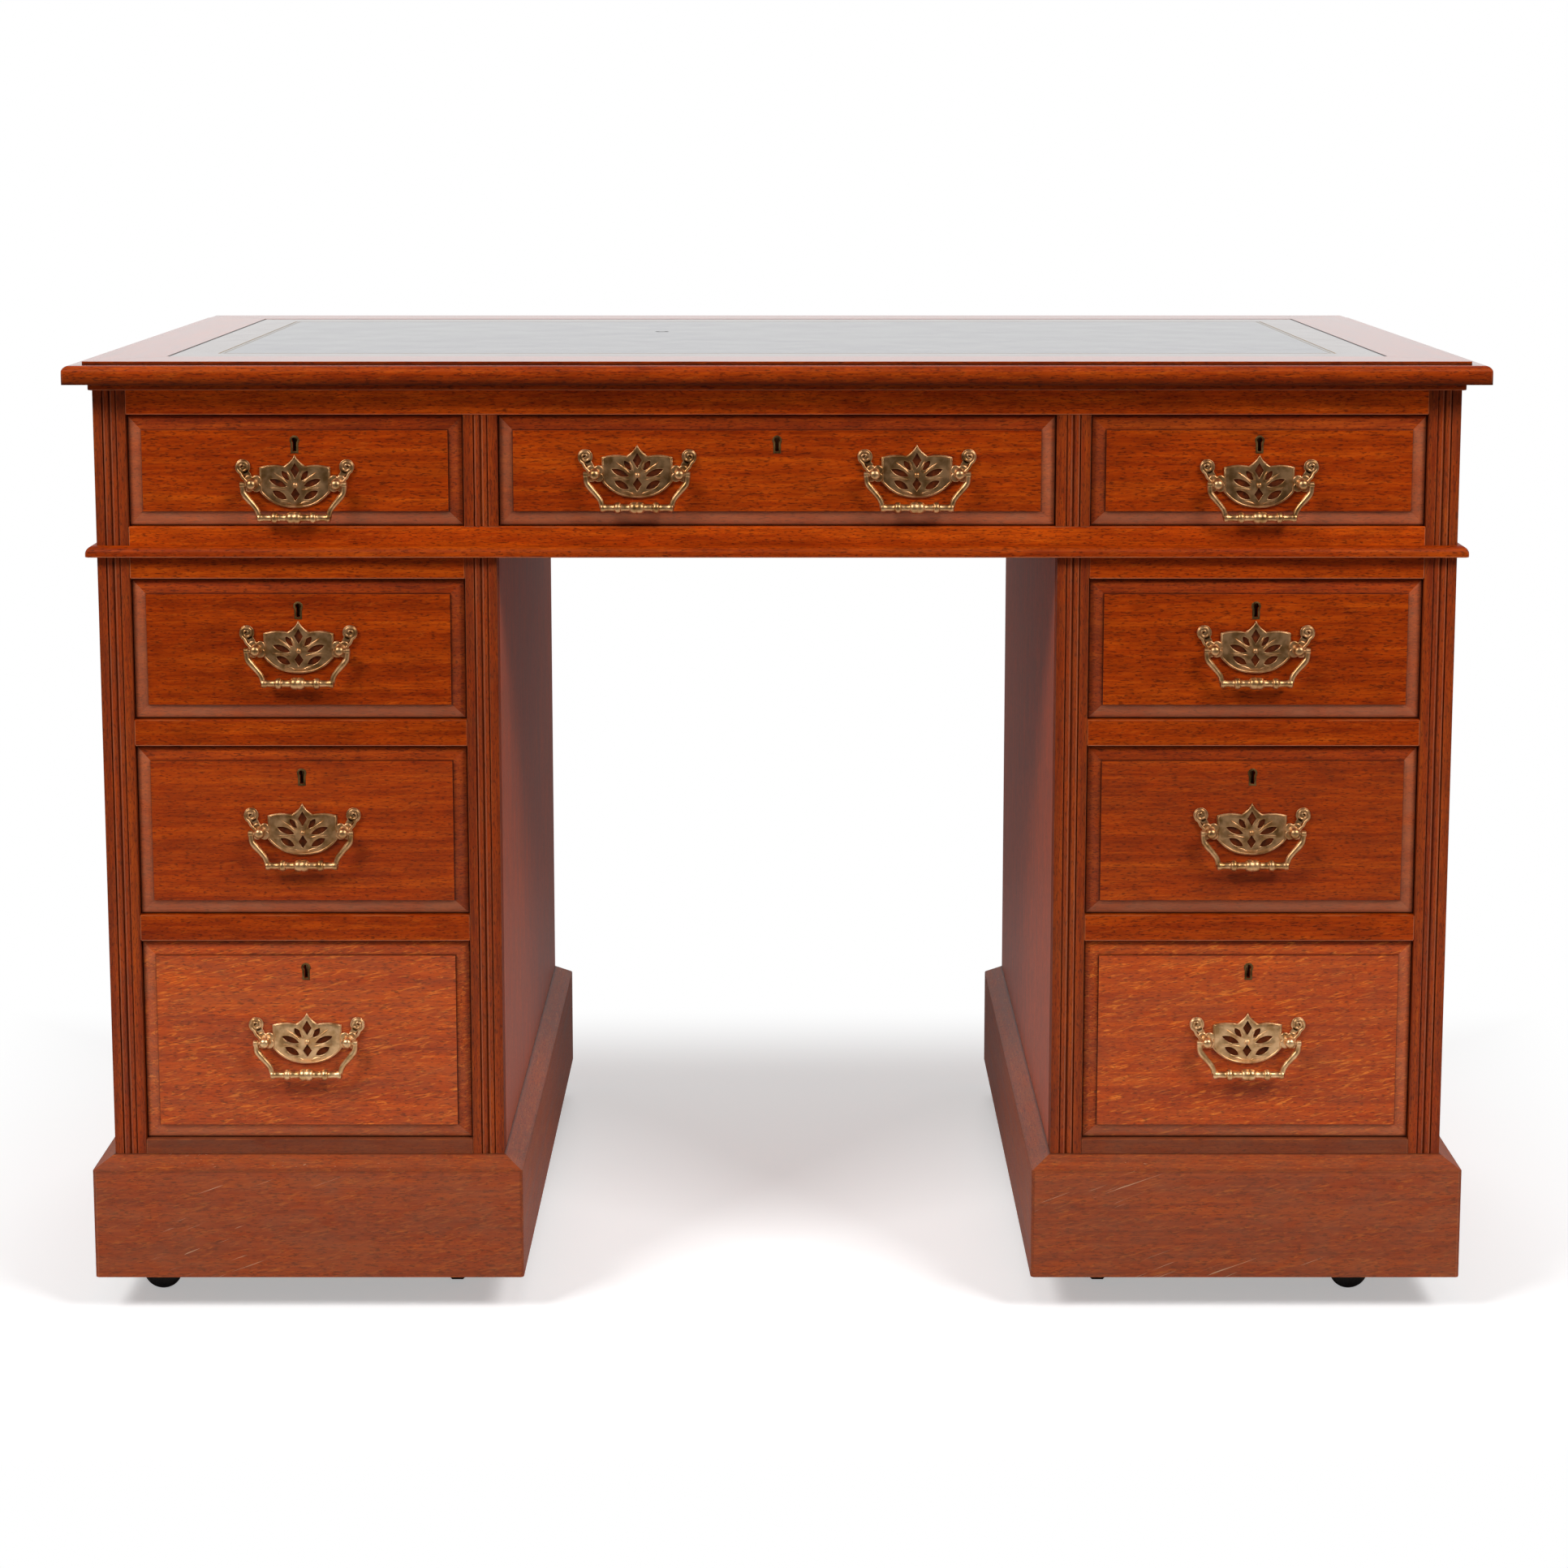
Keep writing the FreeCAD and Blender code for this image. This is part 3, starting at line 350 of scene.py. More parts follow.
@dataclass(frozen=True)
class BrassFinish:
    """Cast brass, lacquered long ago and dulled to bronze in its hollows."""

    name: str
    bright: str
    dull: str
    roughness: float
    tarnish_mm: float = 7.0
    tarnish_stops: Spot = (0.36, 0.62)
    gloss_spread: float = 0.2
    pit_mm: float = 1.2
    pit_strength: float = 0.12
    pit_depth_mm: float = 0.2

    def build(self) -> Material:
        """Warm metal with soft tarnish patches and a slightly pitted cast skin."""
        material, sheet = new_material(self.name)
        place = sheet.place()
        patches = sheet.noise(place, self.tarnish_mm, 4.0)
        colour = sheet.ramp(patches, *zip(self.tarnish_stops, map(to_linear, (self.dull, self.bright))))
        pits = sheet.noise(place, self.pit_mm, 2.0)
        sheet.surface({"Metallic": 1.0},
                      {"Base Color": colour,
                       "Roughness": sheet.math("MULTIPLY_ADD", patches, self.gloss_spread, self.roughness),
                       "Normal": sheet.bump(pits, self.pit_strength, self.pit_depth_mm)})
        return material


@dataclass(frozen=True)
class ShadeAndPolishFilm:
    """Painted shade, with some old polish and dust, on the wood behind a pierced plate."""

    name: str = "shade_and_old_polish_film"
    thick: str = "#3a1806"
    thin: str = "#6a2c0c"
    smear_mm: float = 5.0
    smear_stops: Spot = (0.35, 0.7)
    roughness: float = 0.6
    specular: float = 0.1

    def build(self) -> Material:
        """A dark, uneven, nearly matt brown, painted shade that sets off the openings."""
        material, sheet = new_material(self.name)
        smears = sheet.noise(sheet.place(), self.smear_mm, 3.0)
        colour = sheet.ramp(smears, *zip(self.smear_stops, map(to_linear, (self.thick, self.thin))))
        sheet.surface({"Roughness": self.roughness, "Specular IOR Level": self.specular}, {"Base Color": colour})
        return material


@dataclass(frozen=True)
class IronFinish:
    """Blackened cast iron of the castors."""

    name: str = "blackened_cast_iron"
    skin: str = "#141312"
    rub: str = "#2b2826"
    grit_mm: float = 1.5
    grit_stops: Spot = (0.4, 0.7)
    grit_strength: float = 0.3
    grit_depth_mm: float = 0.3
    roughness: float = 0.55

    def build(self) -> Material:
        """Near-black metal with a grainy casting skin."""
        material, sheet = new_material(self.name)
        grit = sheet.noise(sheet.place(), self.grit_mm, 3.0)
        colour = sheet.ramp(grit, *zip(self.grit_stops, map(to_linear, (self.skin, self.rub))))
        normal = sheet.bump(grit, self.grit_strength, self.grit_depth_mm)
        sheet.surface({"Roughness": self.roughness}, {"Base Color": colour, "Normal": normal})
        return material


@dataclass(frozen=True)
class LeatherFinish:
    """Dyed hide with a gilt tooled border, polished by years of sleeves."""

    name: str = "tooled_writing_leather"
    hide: str = "#24242e"
    worn_hide: str = "#3c3a46"
    band: str = "#6e5d58"
    seam: str = "#0e0c0b"
    gilt: str = "#a8894f"
    band_mm: float = 36.0
    seam_mm: float = 2.2
    gilt_lines_mm: tuple[Spot, Spot] = ((36.0, 1.6), (39.6, 0.9))
    ring_place: Point = (-0.104, 0.062, 0.0)
    ring_mm: Spot = (4.6, 1.5)
    wear_mm: float = 40.0
    wear_stops: Spot = (0.35, 0.7)
    # The hide's own pebble is finer than can show here, so it is drawn coarser.
    pebble_mm: float = 1.6
    pebble_strength: float = 0.08
    pebble_depth_mm: float = 0.2
    roughness: float = 0.5
    specular: float = 0.3
    wax: float = 0.9
    wax_spread: float = 0.2
    wax_roughness: float = 0.16

    def build(self, half_x: float, half_y: float) -> Material:
        """Fine pebbled hide that glares at a low angle: a paler band, two gilt lines, an ink ring.

        Args:
            half_x: half the hide's width, in metres.
            half_y: half the hide's depth, in metres.

        Returns:
            The material.
        """
        material, sheet = new_material(self.name)
        place = sheet.place()
        x, y, _ = sheet.split(place)
        inset = sheet.math("MINIMUM", *(sheet.math("SUBTRACT", half, sheet.math("ABSOLUTE", axis))
                                        for axis, half in ((x, half_x), (y, half_y))))
        gilt = sheet.math("MAXIMUM", *(sheet.math("COMPARE", inset, distance * MM, width / 2 * MM)
                                       for distance, width in self.gilt_lines_mm))
        rubbed = sheet.noise(place, self.wear_mm, 5.0)
        hide = sheet.ramp(rubbed, *zip(self.wear_stops, map(to_linear, (self.hide, self.worn_hide))))
        flat = sheet.add("CombineXYZ", {}, {"X": x, "Y": y}).outputs[0]
        reach = sheet.add("VectorMath", {"operation": "DISTANCE", 1: self.ring_place}, {0: flat}).outputs["Value"]
        ring = sheet.math("COMPARE", reach, *(size * MM for size in self.ring_mm))
        grooves = sheet.math("MAXIMUM", sheet.math("LESS_THAN", inset, self.seam_mm * MM), ring)
        hide = sheet.mix(sheet.math("LESS_THAN", inset, self.band_mm * MM), hide, self.band)
        hide = sheet.mix(sheet.math("MULTIPLY", gilt, rubbed), hide, self.gilt)
        hide = sheet.mix(grooves, hide, self.seam)
        pebbles = sheet.add("TexVoronoi", {"Scale": 1 / (self.pebble_mm * MM)}, {"Vector": place}).outputs["Distance"]
        normal = sheet.bump(sheet.math("SUBTRACT", pebbles, gilt), self.pebble_strength, self.pebble_depth_mm)
        wax = sheet.math("MULTIPLY_ADD", rubbed, -self.wax_spread, self.wax + self.wax_spread / 2)
        unpressed = sheet.math("SUBTRACT", 1.0, sheet.math("MAXIMUM", grooves, gilt))
        sheet.surface({"Roughness": self.roughness, "Specular IOR Level": self.specular,
                       "Coat Roughness": self.wax_roughness},
                      {"Base Color": hide, "Coat Weight": sheet.math("MULTIPLY", wax, unpressed), "Normal": normal})
        return material


def pick(obj: Piece) -> None:
    """Select one object alone and make it active."""
    bpy.ops.object.select_all(action="DESELECT")
    obj.select_set(True)
    bpy.context.view_layer.objects.active = obj


def join(name: str, pieces: list[Piece]) -> Piece:
    """Join objects to one, which stays active, under a name."""
    pick(pieces[0])
    for piece in pieces:
        piece.select_set(True)
    bpy.ops.object.join()
    joined = bpy.context.object
    joined.name = name
    return joined


def weld(threshold: float) -> None:
    """Merge the active mesh's doubles and turn its faces outwards."""
    bpy.ops.object.mode_set(mode="EDIT")
    bpy.ops.mesh.select_all(action="SELECT")
    bpy.ops.mesh.remove_doubles(threshold=threshold)
    bpy.ops.mesh.normals_make_consistent(inside=False)
    bpy.ops.object.mode_set(mode="OBJECT")


def dress(obj: Piece, *materials: Material) -> None:
    """Give an object these materials and no others, in the order of its slots."""
    obj.data.materials.clear()
    for material in materials:
        obj.data.materials.append(material)


def redress(node: str, material: Material) -> None:
    """Give a CAD node's slots one material."""
    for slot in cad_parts[node].material_slots:
        slot.material = material


def corner_cuts(corner: Point, ways: Spot, radius: float) -> list[Cut]:
    """Cuts that round an upright corner.

    Args:
        corner: a point on the corner.
        ways: the signs of the outward directions along X and Y.
        radius: the rounding's radius.

    Returns:
        A point on each cut and the direction of the waste.
    """
    cuts = []
    for angle in map(math.radians, (15, 30, 45, 60, 75)):
        way = (ways[0] * math.sin(angle), ways[1] * math.cos(angle), 0.0)
        point = (corner[0] + radius * (way[0] - ways[0]), corner[1] + radius * (way[1] - ways[1]), corner[2])
        cuts.append((point, way))
    return cuts


def arc_points(centre: Spot, radius: float, start: float, end: float, steps: int) -> Outline:
    """Points along a round stretch of a section.

    Args:
        centre: the arc's centre.
        radius: its radius.
        start: its first angle, in degrees.
        end: its last angle, in degrees.
        steps: how many flats stand for it.

    Returns:
        The points, ends included.
    """
    angles = [math.radians(start + (end - start) * i / steps) for i in range(steps + 1)]
    return [(centre[0] + radius * math.cos(a), centre[1] + radius * math.sin(a)) for a in angles]


def three_point_arc(start: Spot, through: Spot, end: Spot, steps: int = 8) -> Outline:
    """Points along the arc through three points, without the last one."""
    ax, ay = start[0] - end[0], start[1] - end[1]
    bx, by = through[0] - end[0], through[1] - end[1]
    double = 2 * (ax * by - ay * bx)
    a2, b2 = ax * ax + ay * ay, bx * bx + by * by
    cx, cy = end[0] + (by * a2 - ay * b2) / double, end[1] + (ax * b2 - bx * a2) / double
    first, middle, last = (math.atan2(p[1] - cy, p[0] - cx) for p in (start, through, end))
    turn = 2 * math.pi
    sweep = (last - first) % turn
    if (middle - first) % turn > sweep:
        sweep -= turn
    radius = math.hypot(start[0] - cx, start[1] - cy)
    return [(cx + radius * math.cos(first + sweep * i / steps), cy + radius * math.sin(first + sweep * i / steps))
            for i in range(steps)]


def arc_chain(points: Outline) -> Outline:
    """Arcs end to end: each goes on from the last one's end, through a point, to the next end."""
    chain = []
    for start, through, end in zip(points[::2], points[1::2], points[2::2]):
        chain += three_point_arc(start, through, end)
    return chain + [points[-1]]


def smooth_path(points: list[Point], steps: int) -> list[Point]:
    """A smooth path through points, ends included.

    Args:
        points: the points to pass.
        steps: how many flats stand between two of them.

    Returns:
        The path's points.
    """
    ends = [points[0], *points, points[-1]]
    path = []
    for a, b, c, d in zip(ends, ends[1:], ends[2:], ends[3:]):
        for t in (i / steps for i in range(steps)):
            path.append(tuple(0.5 * (2 * q + (r - p) * t + (2 * p - 5 * q + 4 * r - s) * t * t
                                     + (3 * q - p - 3 * r + s) * t ** 3)
                              for p, q, r, s in zip(a, b, c, d)))
    return path + [points[-1]]


@dataclass
class BoardLook:
    """How one board differs from the next: tone, haze of paled polish and painted sheen, strength of its ray figure,
    scratches and polish.
    """

    tone: float = 1.0
    haze: float = 0.0
    figure: float = 0.15
    scratched: float = 0.0
    polish: Polish = Polish.THIN


@dataclass
class Workshop:
    """Makes boards one at a time and glues them into pieces."""

    polishes: dict[Polish, Material]
    bare: Material
    edge_round: float = 0.9 * MM
    sharp_angle: float = 28.0
    smooth_angle: float = 32.0
    face_weight: int = 100
    cut_touch: float = 0.01 * MM
    square: float = 0.999
    polish_lean: float = 0.3
    grain_shift: float = 9.0
    tone_spread: float = 0.07
    # Painted sheen: how pale a front bevel is painted, by the way it faces the floor and the lamps.
    sill_sheen: float = 0.3
    chance: random.Random = field(default_factory=lambda: random.Random(1907))

    def plank(self, low: Point, high: Point, grain: Grain, look: BoardLook | None = None,
              bare: bool = False) -> Piece:
        """A board with square faces and eased arrises.

        Args:
            low: its lowest corner.
            high: its highest corner.
            grain: the way that its fibres run.
            look: how it differs from its neighbours.
            bare: whether it is left without stain or polish.

        Returns:
            The board.
        """
        bpy.ops.object.select_all(action="DESELECT")
        bpy.ops.mesh.primitive_cube_add(size=1.0, location=(Vector(low) + Vector(high)) / 2,
                                        scale=Vector(high) - Vector(low))
        return self.finish(bpy.context.object, grain, look, bare)

    def moulded(self, outline: Outline, grain: Grain, start: Point, length: float,
                mitres: list[Cut] | None = None, look: BoardLook | None = None,
                soil_and_shade: dict[int, float] | None = None, ease: float | None = None) -> Piece:
        """A board with a worked section, cut to its mitres.

        Args:
            outline: the section's corners across the grain, in metres from the start.
            grain: the way that the board runs.
            start: where the section's origin lies at the board's near end.
            length: the board's length.
            mitres: a point on each cut and the direction of the waste.
            look: how it differs from its neighbours.
            soil_and_shade: how dark the section's corners are painted, from 0 to 1, by their number: painted shade in
                quirks and under edges, with some old polish.
            ease: how far its arrises are rounded, where they are worn more than most.

        Returns:
            The board.
        """
        bpy.ops.object.select_all(action="DESELECT")
        bpy.ops.mesh.primitive_circle_add(vertices=len(outline), fill_type="NGON", location=(0, 0, 0))
        board = bpy.context.object
        others = [i for i in range(3) if i != grain.value]
        for vertex, spot in zip(board.data.vertices, outline):
            place = Vector(start)
            for axis, offset in zip(others, spot):
                place[axis] += offset
            vertex.co = place
        dark_polish_and_shade = board.data.attributes.new("board_dark_polish_and_shade", "FLOAT", "POINT")
        dark_polish_and_shade.data.foreach_set("value", [(soil_and_shade or {}).get(i, 0.0) for i in range(len(outline))])
        run = [0.0, 0.0, 0.0]
        run[grain.value] = length
        bpy.ops.object.mode_set(mode="EDIT")
        bpy.ops.mesh.select_all(action="SELECT")
        bpy.ops.mesh.extrude_region_move(TRANSFORM_OT_translate={"value": run})
        for point, waste in mitres or []:
            bpy.ops.mesh.select_all(action="SELECT")
            bpy.ops.mesh.bisect(plane_co=point, plane_no=waste, use_fill=True, clear_outer=True)
        bpy.ops.mesh.select_all(action="SELECT")
        bpy.ops.mesh.normals_make_consistent(inside=False)
        bpy.ops.object.mode_set(mode="OBJECT")
        return self.finish(board, grain, look, False, mitres, ease)

    def mitred_frame(self, low: Vector, high: Vector, section: Outline, corner: float, look: BoardLook,
                     soil_and_shade: dict[int, float], ease: float | None = None) -> list[Piece]:
        """Four moulded boards round a box, mitred at its corners.

        Args:
            low: the box's lowest corner.
            high: the box's highest corner.
            section: inward distance and height of a board's corners, from its outer lower arris.
            corner: the rounding of the upright corners.
            look: how the boards differ from their neighbours.
            soil_and_shade: how dark the section's corners are painted, by their number: painted shade with some old
                polish.
            ease: how far the arrises are rounded, where they are worn more than most.

        Returns:
            The front, back, left and right boards.
        """
        boards = []
        for grain in (Grain.ACROSS, Grain.DEEP):
            run, side = grain.value, 1 - grain.value
            for sign, face in ((-1.0, low), (1.0, high)):
                mitres, rounds = [], []
                for way, end in ((-1.0, low), (1.0, high)):
                    point, waste, ways = Vector(low), [0.0, 0.0, 0.0], [0.0, 0.0]
                    point[side], point[run] = face[side], end[run]
                    waste[side], waste[run] = -sign, way
                    ways[side], ways[run] = sign, way
                    mitres.append((tuple(point), tuple(waste)))
                    rounds += corner_cuts(tuple(point), tuple(ways), corner)
                start = Vector(low)
                start[side] = face[side]
                outline = [(-sign * inward, height) for inward, height in section]
                boards.append(self.moulded(outline, grain, start, high[run] - low[run], mitres + rounds, look, soil_and_shade,
                                           ease))
        return boards

    def finish(self, board: Piece, grain: Grain, look: BoardLook | None, bare: bool,
               mitres: list[Cut] | None = None, ease: float | None = None) -> Piece:
        """Ease a board's arrises but those of its mitres, lay its grain and polish it.

        Args:
            board: the board, in its place.
            grain: the way that its fibres run.
            look: how it differs from its neighbours.
            bare: whether it is left without stain or polish.
            mitres: a point on each cut and the direction of the waste.
            ease: how far its arrises are rounded, where they are worn more than most.

        Returns:
            The same board.
        """
        pick(board)
        bpy.ops.object.transform_apply(location=True, rotation=True, scale=True)
        bpy.ops.object.mode_set(mode="EDIT")
        bpy.ops.mesh.select_mode(type="EDGE")
        bpy.ops.mesh.select_all(action="DESELECT")
        bpy.ops.mesh.edges_select_sharp(sharpness=math.radians(self.sharp_angle))
        bpy.ops.object.mode_set(mode="OBJECT")
        for edge in board.data.edges:
            ends = [board.data.vertices[i].co for i in edge.vertices]
            if any(all(abs((end - Vector(point)).dot(way)) < self.cut_touch for end in ends)
                   for point, way in mitres or []):
                edge.select = False
        bpy.ops.object.mode_set(mode="EDIT")
        bpy.ops.mesh.bevel(offset=ease or self.edge_round, segments=3 if ease else 2, affect="EDGES",
                           clamp_overlap=True)
        bpy.ops.object.mode_set(mode="OBJECT")
        look = look or BoardLook()
        self.lay_grain(board, grain, look)
        dress(board, self.bare if bare else self.polishes[Polish.THIN])
        if look.polish is not Polish.THIN:
            board.data.materials.append(self.polishes[look.polish])
            polished = [int(abs(face.normal.y) < self.polish_lean) for face in board.data.polygons]
            board.data.polygons.foreach_set("material_index", polished)
        return board

    def lay_grain(self, board: Piece, grain: Grain, look: BoardLook) -> None:
        """Write a board's own coordinates, look, worn arrises, and haze with painted sheen, to its mesh.

        Args:
            board: the board, with its eased faces still selected.
            grain: the way that its fibres run.
            look: how it differs from its neighbours.
        """
        mesh = board.data
        order = [grain.value] + [i for i in range(3) if i != grain.value]
        shift = [self.chance.uniform(0.0, self.grain_shift) for _ in order]
        tone = look.tone * self.chance.uniform(1 - self.tone_spread, 1 + self.tone_spread)
        places = [vertex.co[i] + shift[n] for vertex in mesh.vertices for n, i in enumerate(order)]
        looks = [tone, look.scratched, look.figure] * len(mesh.vertices)
        worn = [float(face.select and max(map(abs, face.normal)) < self.square) for face in mesh.polygons]
        haze = [max(look.haze, self.sill_sheen * self.sill_sheen_share(face)) for face in mesh.polygons]
        for name, values in (("board_place", places), ("board_look", looks)):
            mesh.attributes.new(name, "FLOAT_VECTOR", "POINT").data.foreach_set("vector", values)
        for name, values in (("board_worn", worn), ("board_haze_and_sheen", haze)):
            mesh.attributes.new(name, "FLOAT", "FACE").data.foreach_set("value", values)

    @staticmethod
    def sill_sheen_share(face: bpy.types.MeshPolygon) -> float:
        """Painted sheen on a front bevel, by the way it faces: most on the lower one, which faces the floor, more on a
        side one facing its lamp than on one facing the kneehole, least on the upper one.
        """
        normal = face.normal
        if not -0.99 < normal.y < -0.9:
            return 0.0
        if abs(normal.x) > abs(normal.z):
            return 0.75 if normal.x * face.center.x > 0 else 0.2
        return 1.0 if normal.z < 0 else 0.05

    def glue(self, name: str, boards: list[Piece], body: str, *nodes: str) -> None:
        """Join boards into one piece that stands for CAD nodes and rides on their body.

        Args:
            name: the piece's name.
            boards: the boards.
            body: the body that it rides on.
            nodes: the nodes that it stands for.
        """
        piece = join(name, boards)
        piece.data.name = name
        bpy.ops.object.shade_smooth_by_angle(angle=math.radians(self.smooth_angle))
        # The broad faces keep their true normals, and only the eased arrises turn.
        even = piece.modifiers.new("even", "WEIGHTED_NORMAL")
        even.keep_sharp = True
        even.weight = self.face_weight
        bpy.ops.object.modifier_apply(modifier=even.name)
        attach(piece, body)
        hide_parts(*nodes)
        LOG.info("%s: %d boards, %d faces", name, len(boards), len(piece.data.polygons))


@dataclass
class CaseSizes:
    """Sizes of the case boards, and the planes that the frame gives."""

    stile_width: float = 25.5 * MM
    stile_depth: float = 20.0 * MM
    muntin_width: float = 27.0 * MM
    side_thickness: float = 16.0 * MM
    back_thickness: float = 10.0 * MM
    board_thickness: float = 12.0 * MM
    rail_depth: float = 60.0 * MM
    bead_width: float = 5.8 * MM
    bead_sink: float = 1.8 * MM
    front_gap: float = 0.8 * MM
    bearing_width: float = 18.0 * MM
    guide_height: float = 12.0 * MM
    runner_height: float = 21.5 * MM
    frieze_runner_height: float = 12.0 * MM
    stop_size: Point = (30.0 * MM, 15.0 * MM, 5.0 * MM)
    stop_share: float = 0.25

    def __post_init__(self) -> None:
        """Read the case's planes from the frame."""
        left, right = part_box("left_pedestal_case"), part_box("right_pedestal_case")
        self.left, self.right = left[0].x, right[1].x
        self.front, self.back = left[0].y, left[1].y
        self.pedestal_top = left[1].z
        self.slab_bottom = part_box("top_frame")[0].z
        self.stile_back = self.front + self.stile_depth
        self.rail_back = self.front + self.rail_depth
        self.back_front = self.back - self.back_thickness

    def opening(self, place: str) -> tuple[Vector, Vector]:
        """The opening that a drawer's front fills, as its lowest and highest corners."""
        low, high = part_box(f"{place}_drawer_front")
        gap = Vector((self.front_gap, 0, self.front_gap))
        return low - gap, high + gap


@dataclass
class Joinery:
    """What the frieze and the pedestals share: reeded posts, runners and stops."""

    shop: Workshop
    sizes: CaseSizes
    arris_soil_and_shade: float = 0.3
    bead_soil_and_shade_power: float = 1.5
    stile_look: BoardLook = field(default_factory=lambda: BoardLook(0.85, 0.04))

    def reeded_post(self, left: float, width: float, floor: float, ceiling: float, look: BoardLook) -> Piece:
        """A stile or muntin with two round beads down its face.

        Args:
            left: its left face.
            width: its width.
            floor: its foot.
            ceiling: its head.
            look: how it differs from its neighbours.

        Returns:
            The post.
        """
        s = self.sizes
        start = width / 2 - s.bead_width
        half = s.bead_width / 2
        radius = (half ** 2 + s.bead_sink ** 2) / (2 * s.bead_sink)
        spread = math.degrees(math.asin(half / radius))
        outline: Outline = [(0, s.stile_depth), (0, 0), (start, 0)]
        for number in range(2):
            centre = (start + s.bead_width * (number + 0.5), radius)
            outline += arc_points(centre, radius, 270 - spread, 270 + spread, 8)[number:]
        outline += [(width - start, 0), (width, 0), (width, s.stile_depth)]
        last = len(outline) - 1
        # Painted shade with some old polish: darker deeper in the quirks between the beads, and a little at the front
        # arrises beside the drawer gaps.
        soil_and_shade = {i: (outline[i][1] / s.bead_sink) ** self.bead_soil_and_shade_power for i in range(2, last - 1)}
        soil_and_shade.update({1: self.arris_soil_and_shade, last - 1: self.arris_soil_and_shade})
        return self.shop.moulded(outline, Grain.UPRIGHT, (left, s.front, floor), ceiling - floor, None, look, soil_and_shade)

    def runners(self, floor: float, height: float, left: float, right: float) -> list[Piece]:
        """A runner and its guide inside each side board.

        Args:
            floor: the level that the drawer runs on.
            height: the runner's height.
            left: the left side board's inner face.
            right: the right side board's inner face.

        Returns:
            The boards.
        """
        s = self.sizes
        guide = s.stile_width - s.side_thickness
        boards = []
        for face, sign in ((left, 1), (right, -1)):
            for reach, low, high in ((guide + s.bearing_width, floor - height, floor),
                                     (guide, floor, floor + s.guide_height)):
                x0, x1 = sorted((face, face + sign * reach))
                boards.append(self.shop.plank((x0, s.rail_back, low), (x1, s.back_front, high), Grain.DEEP, bare=True))
        return boards

    def stops(self, place: str) -> list[Piece]:
        """The two blocks that stop a drawer when it is shut."""
        low, high = self.sizes.opening(place)
        wide, deep, tall = self.sizes.stop_size
        boards = []
        for sign in (-1, 1):
            x = (low.x + high.x) / 2 + sign * (high.x - low.x) * self.sizes.stop_share
            boards.append(self.shop.plank((x - wide / 2, high.y, low.z), (x + wide / 2, high.y + deep, low.z + tall),
                                          Grain.ACROSS, bare=True))
        return boards


@dataclass
class DeskTop:
    """The moulded border boards, the panel inside them and the leather on it."""

    shop: Workshop
    border: float = 70.0 * MM
    step_reach: float = 14.0 * MM
    step_height: float = 2.6 * MM
    ovolo: float = 5.7 * MM
    corner_round: float = 1.6 * MM
    # Painted shade with some old polish: dark at the lower arris of the top's edge, where its shadow falls, and in the
    # corner at the step's foot.
    edge_soil_and_shade: dict[int, float] = field(default_factory=lambda: {1: 1.0, 9: 1.0})
    look: BoardLook = field(default_factory=lambda: BoardLook(1.05, 0.0, 0.2, 0.2, Polish.FULL))

    def section(self, thickness: float) -> Outline:
        """The border's section: inward distance and height, from the outermost lower arris."""
        fillet = thickness - self.step_height
        rounded = arc_points((self.ovolo, fillet - self.ovolo), self.ovolo, 180, 90, 6)
        return [(self.border, 0), (0, 0), *rounded, (self.step_reach, fillet),
                (self.step_reach, thickness), (self.border, thickness)]

    def build(self, leather: LeatherFinish) -> None:
        """Make the border and the panel, and finish the hide.

        Args:
            leather: the hide's finish.
        """
        low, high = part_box("top_frame")
        boards = self.shop.mitred_frame(low, high, self.section(high.z - low.z), self.corner_round, self.look,
                                        self.edge_soil_and_shade)
        hide_low, hide_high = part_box("writing_leather")
        boards.append(self.shop.plank((hide_low.x, hide_low.y, low.z), (hide_high.x, hide_high.y, hide_low.z),
                                      Grain.ACROSS, bare=True))
        self.shop.glue("top_boards", boards, "desk", "top_frame")
        redress("writing_leather", leather.build(hide_high.x, hide_high.y))


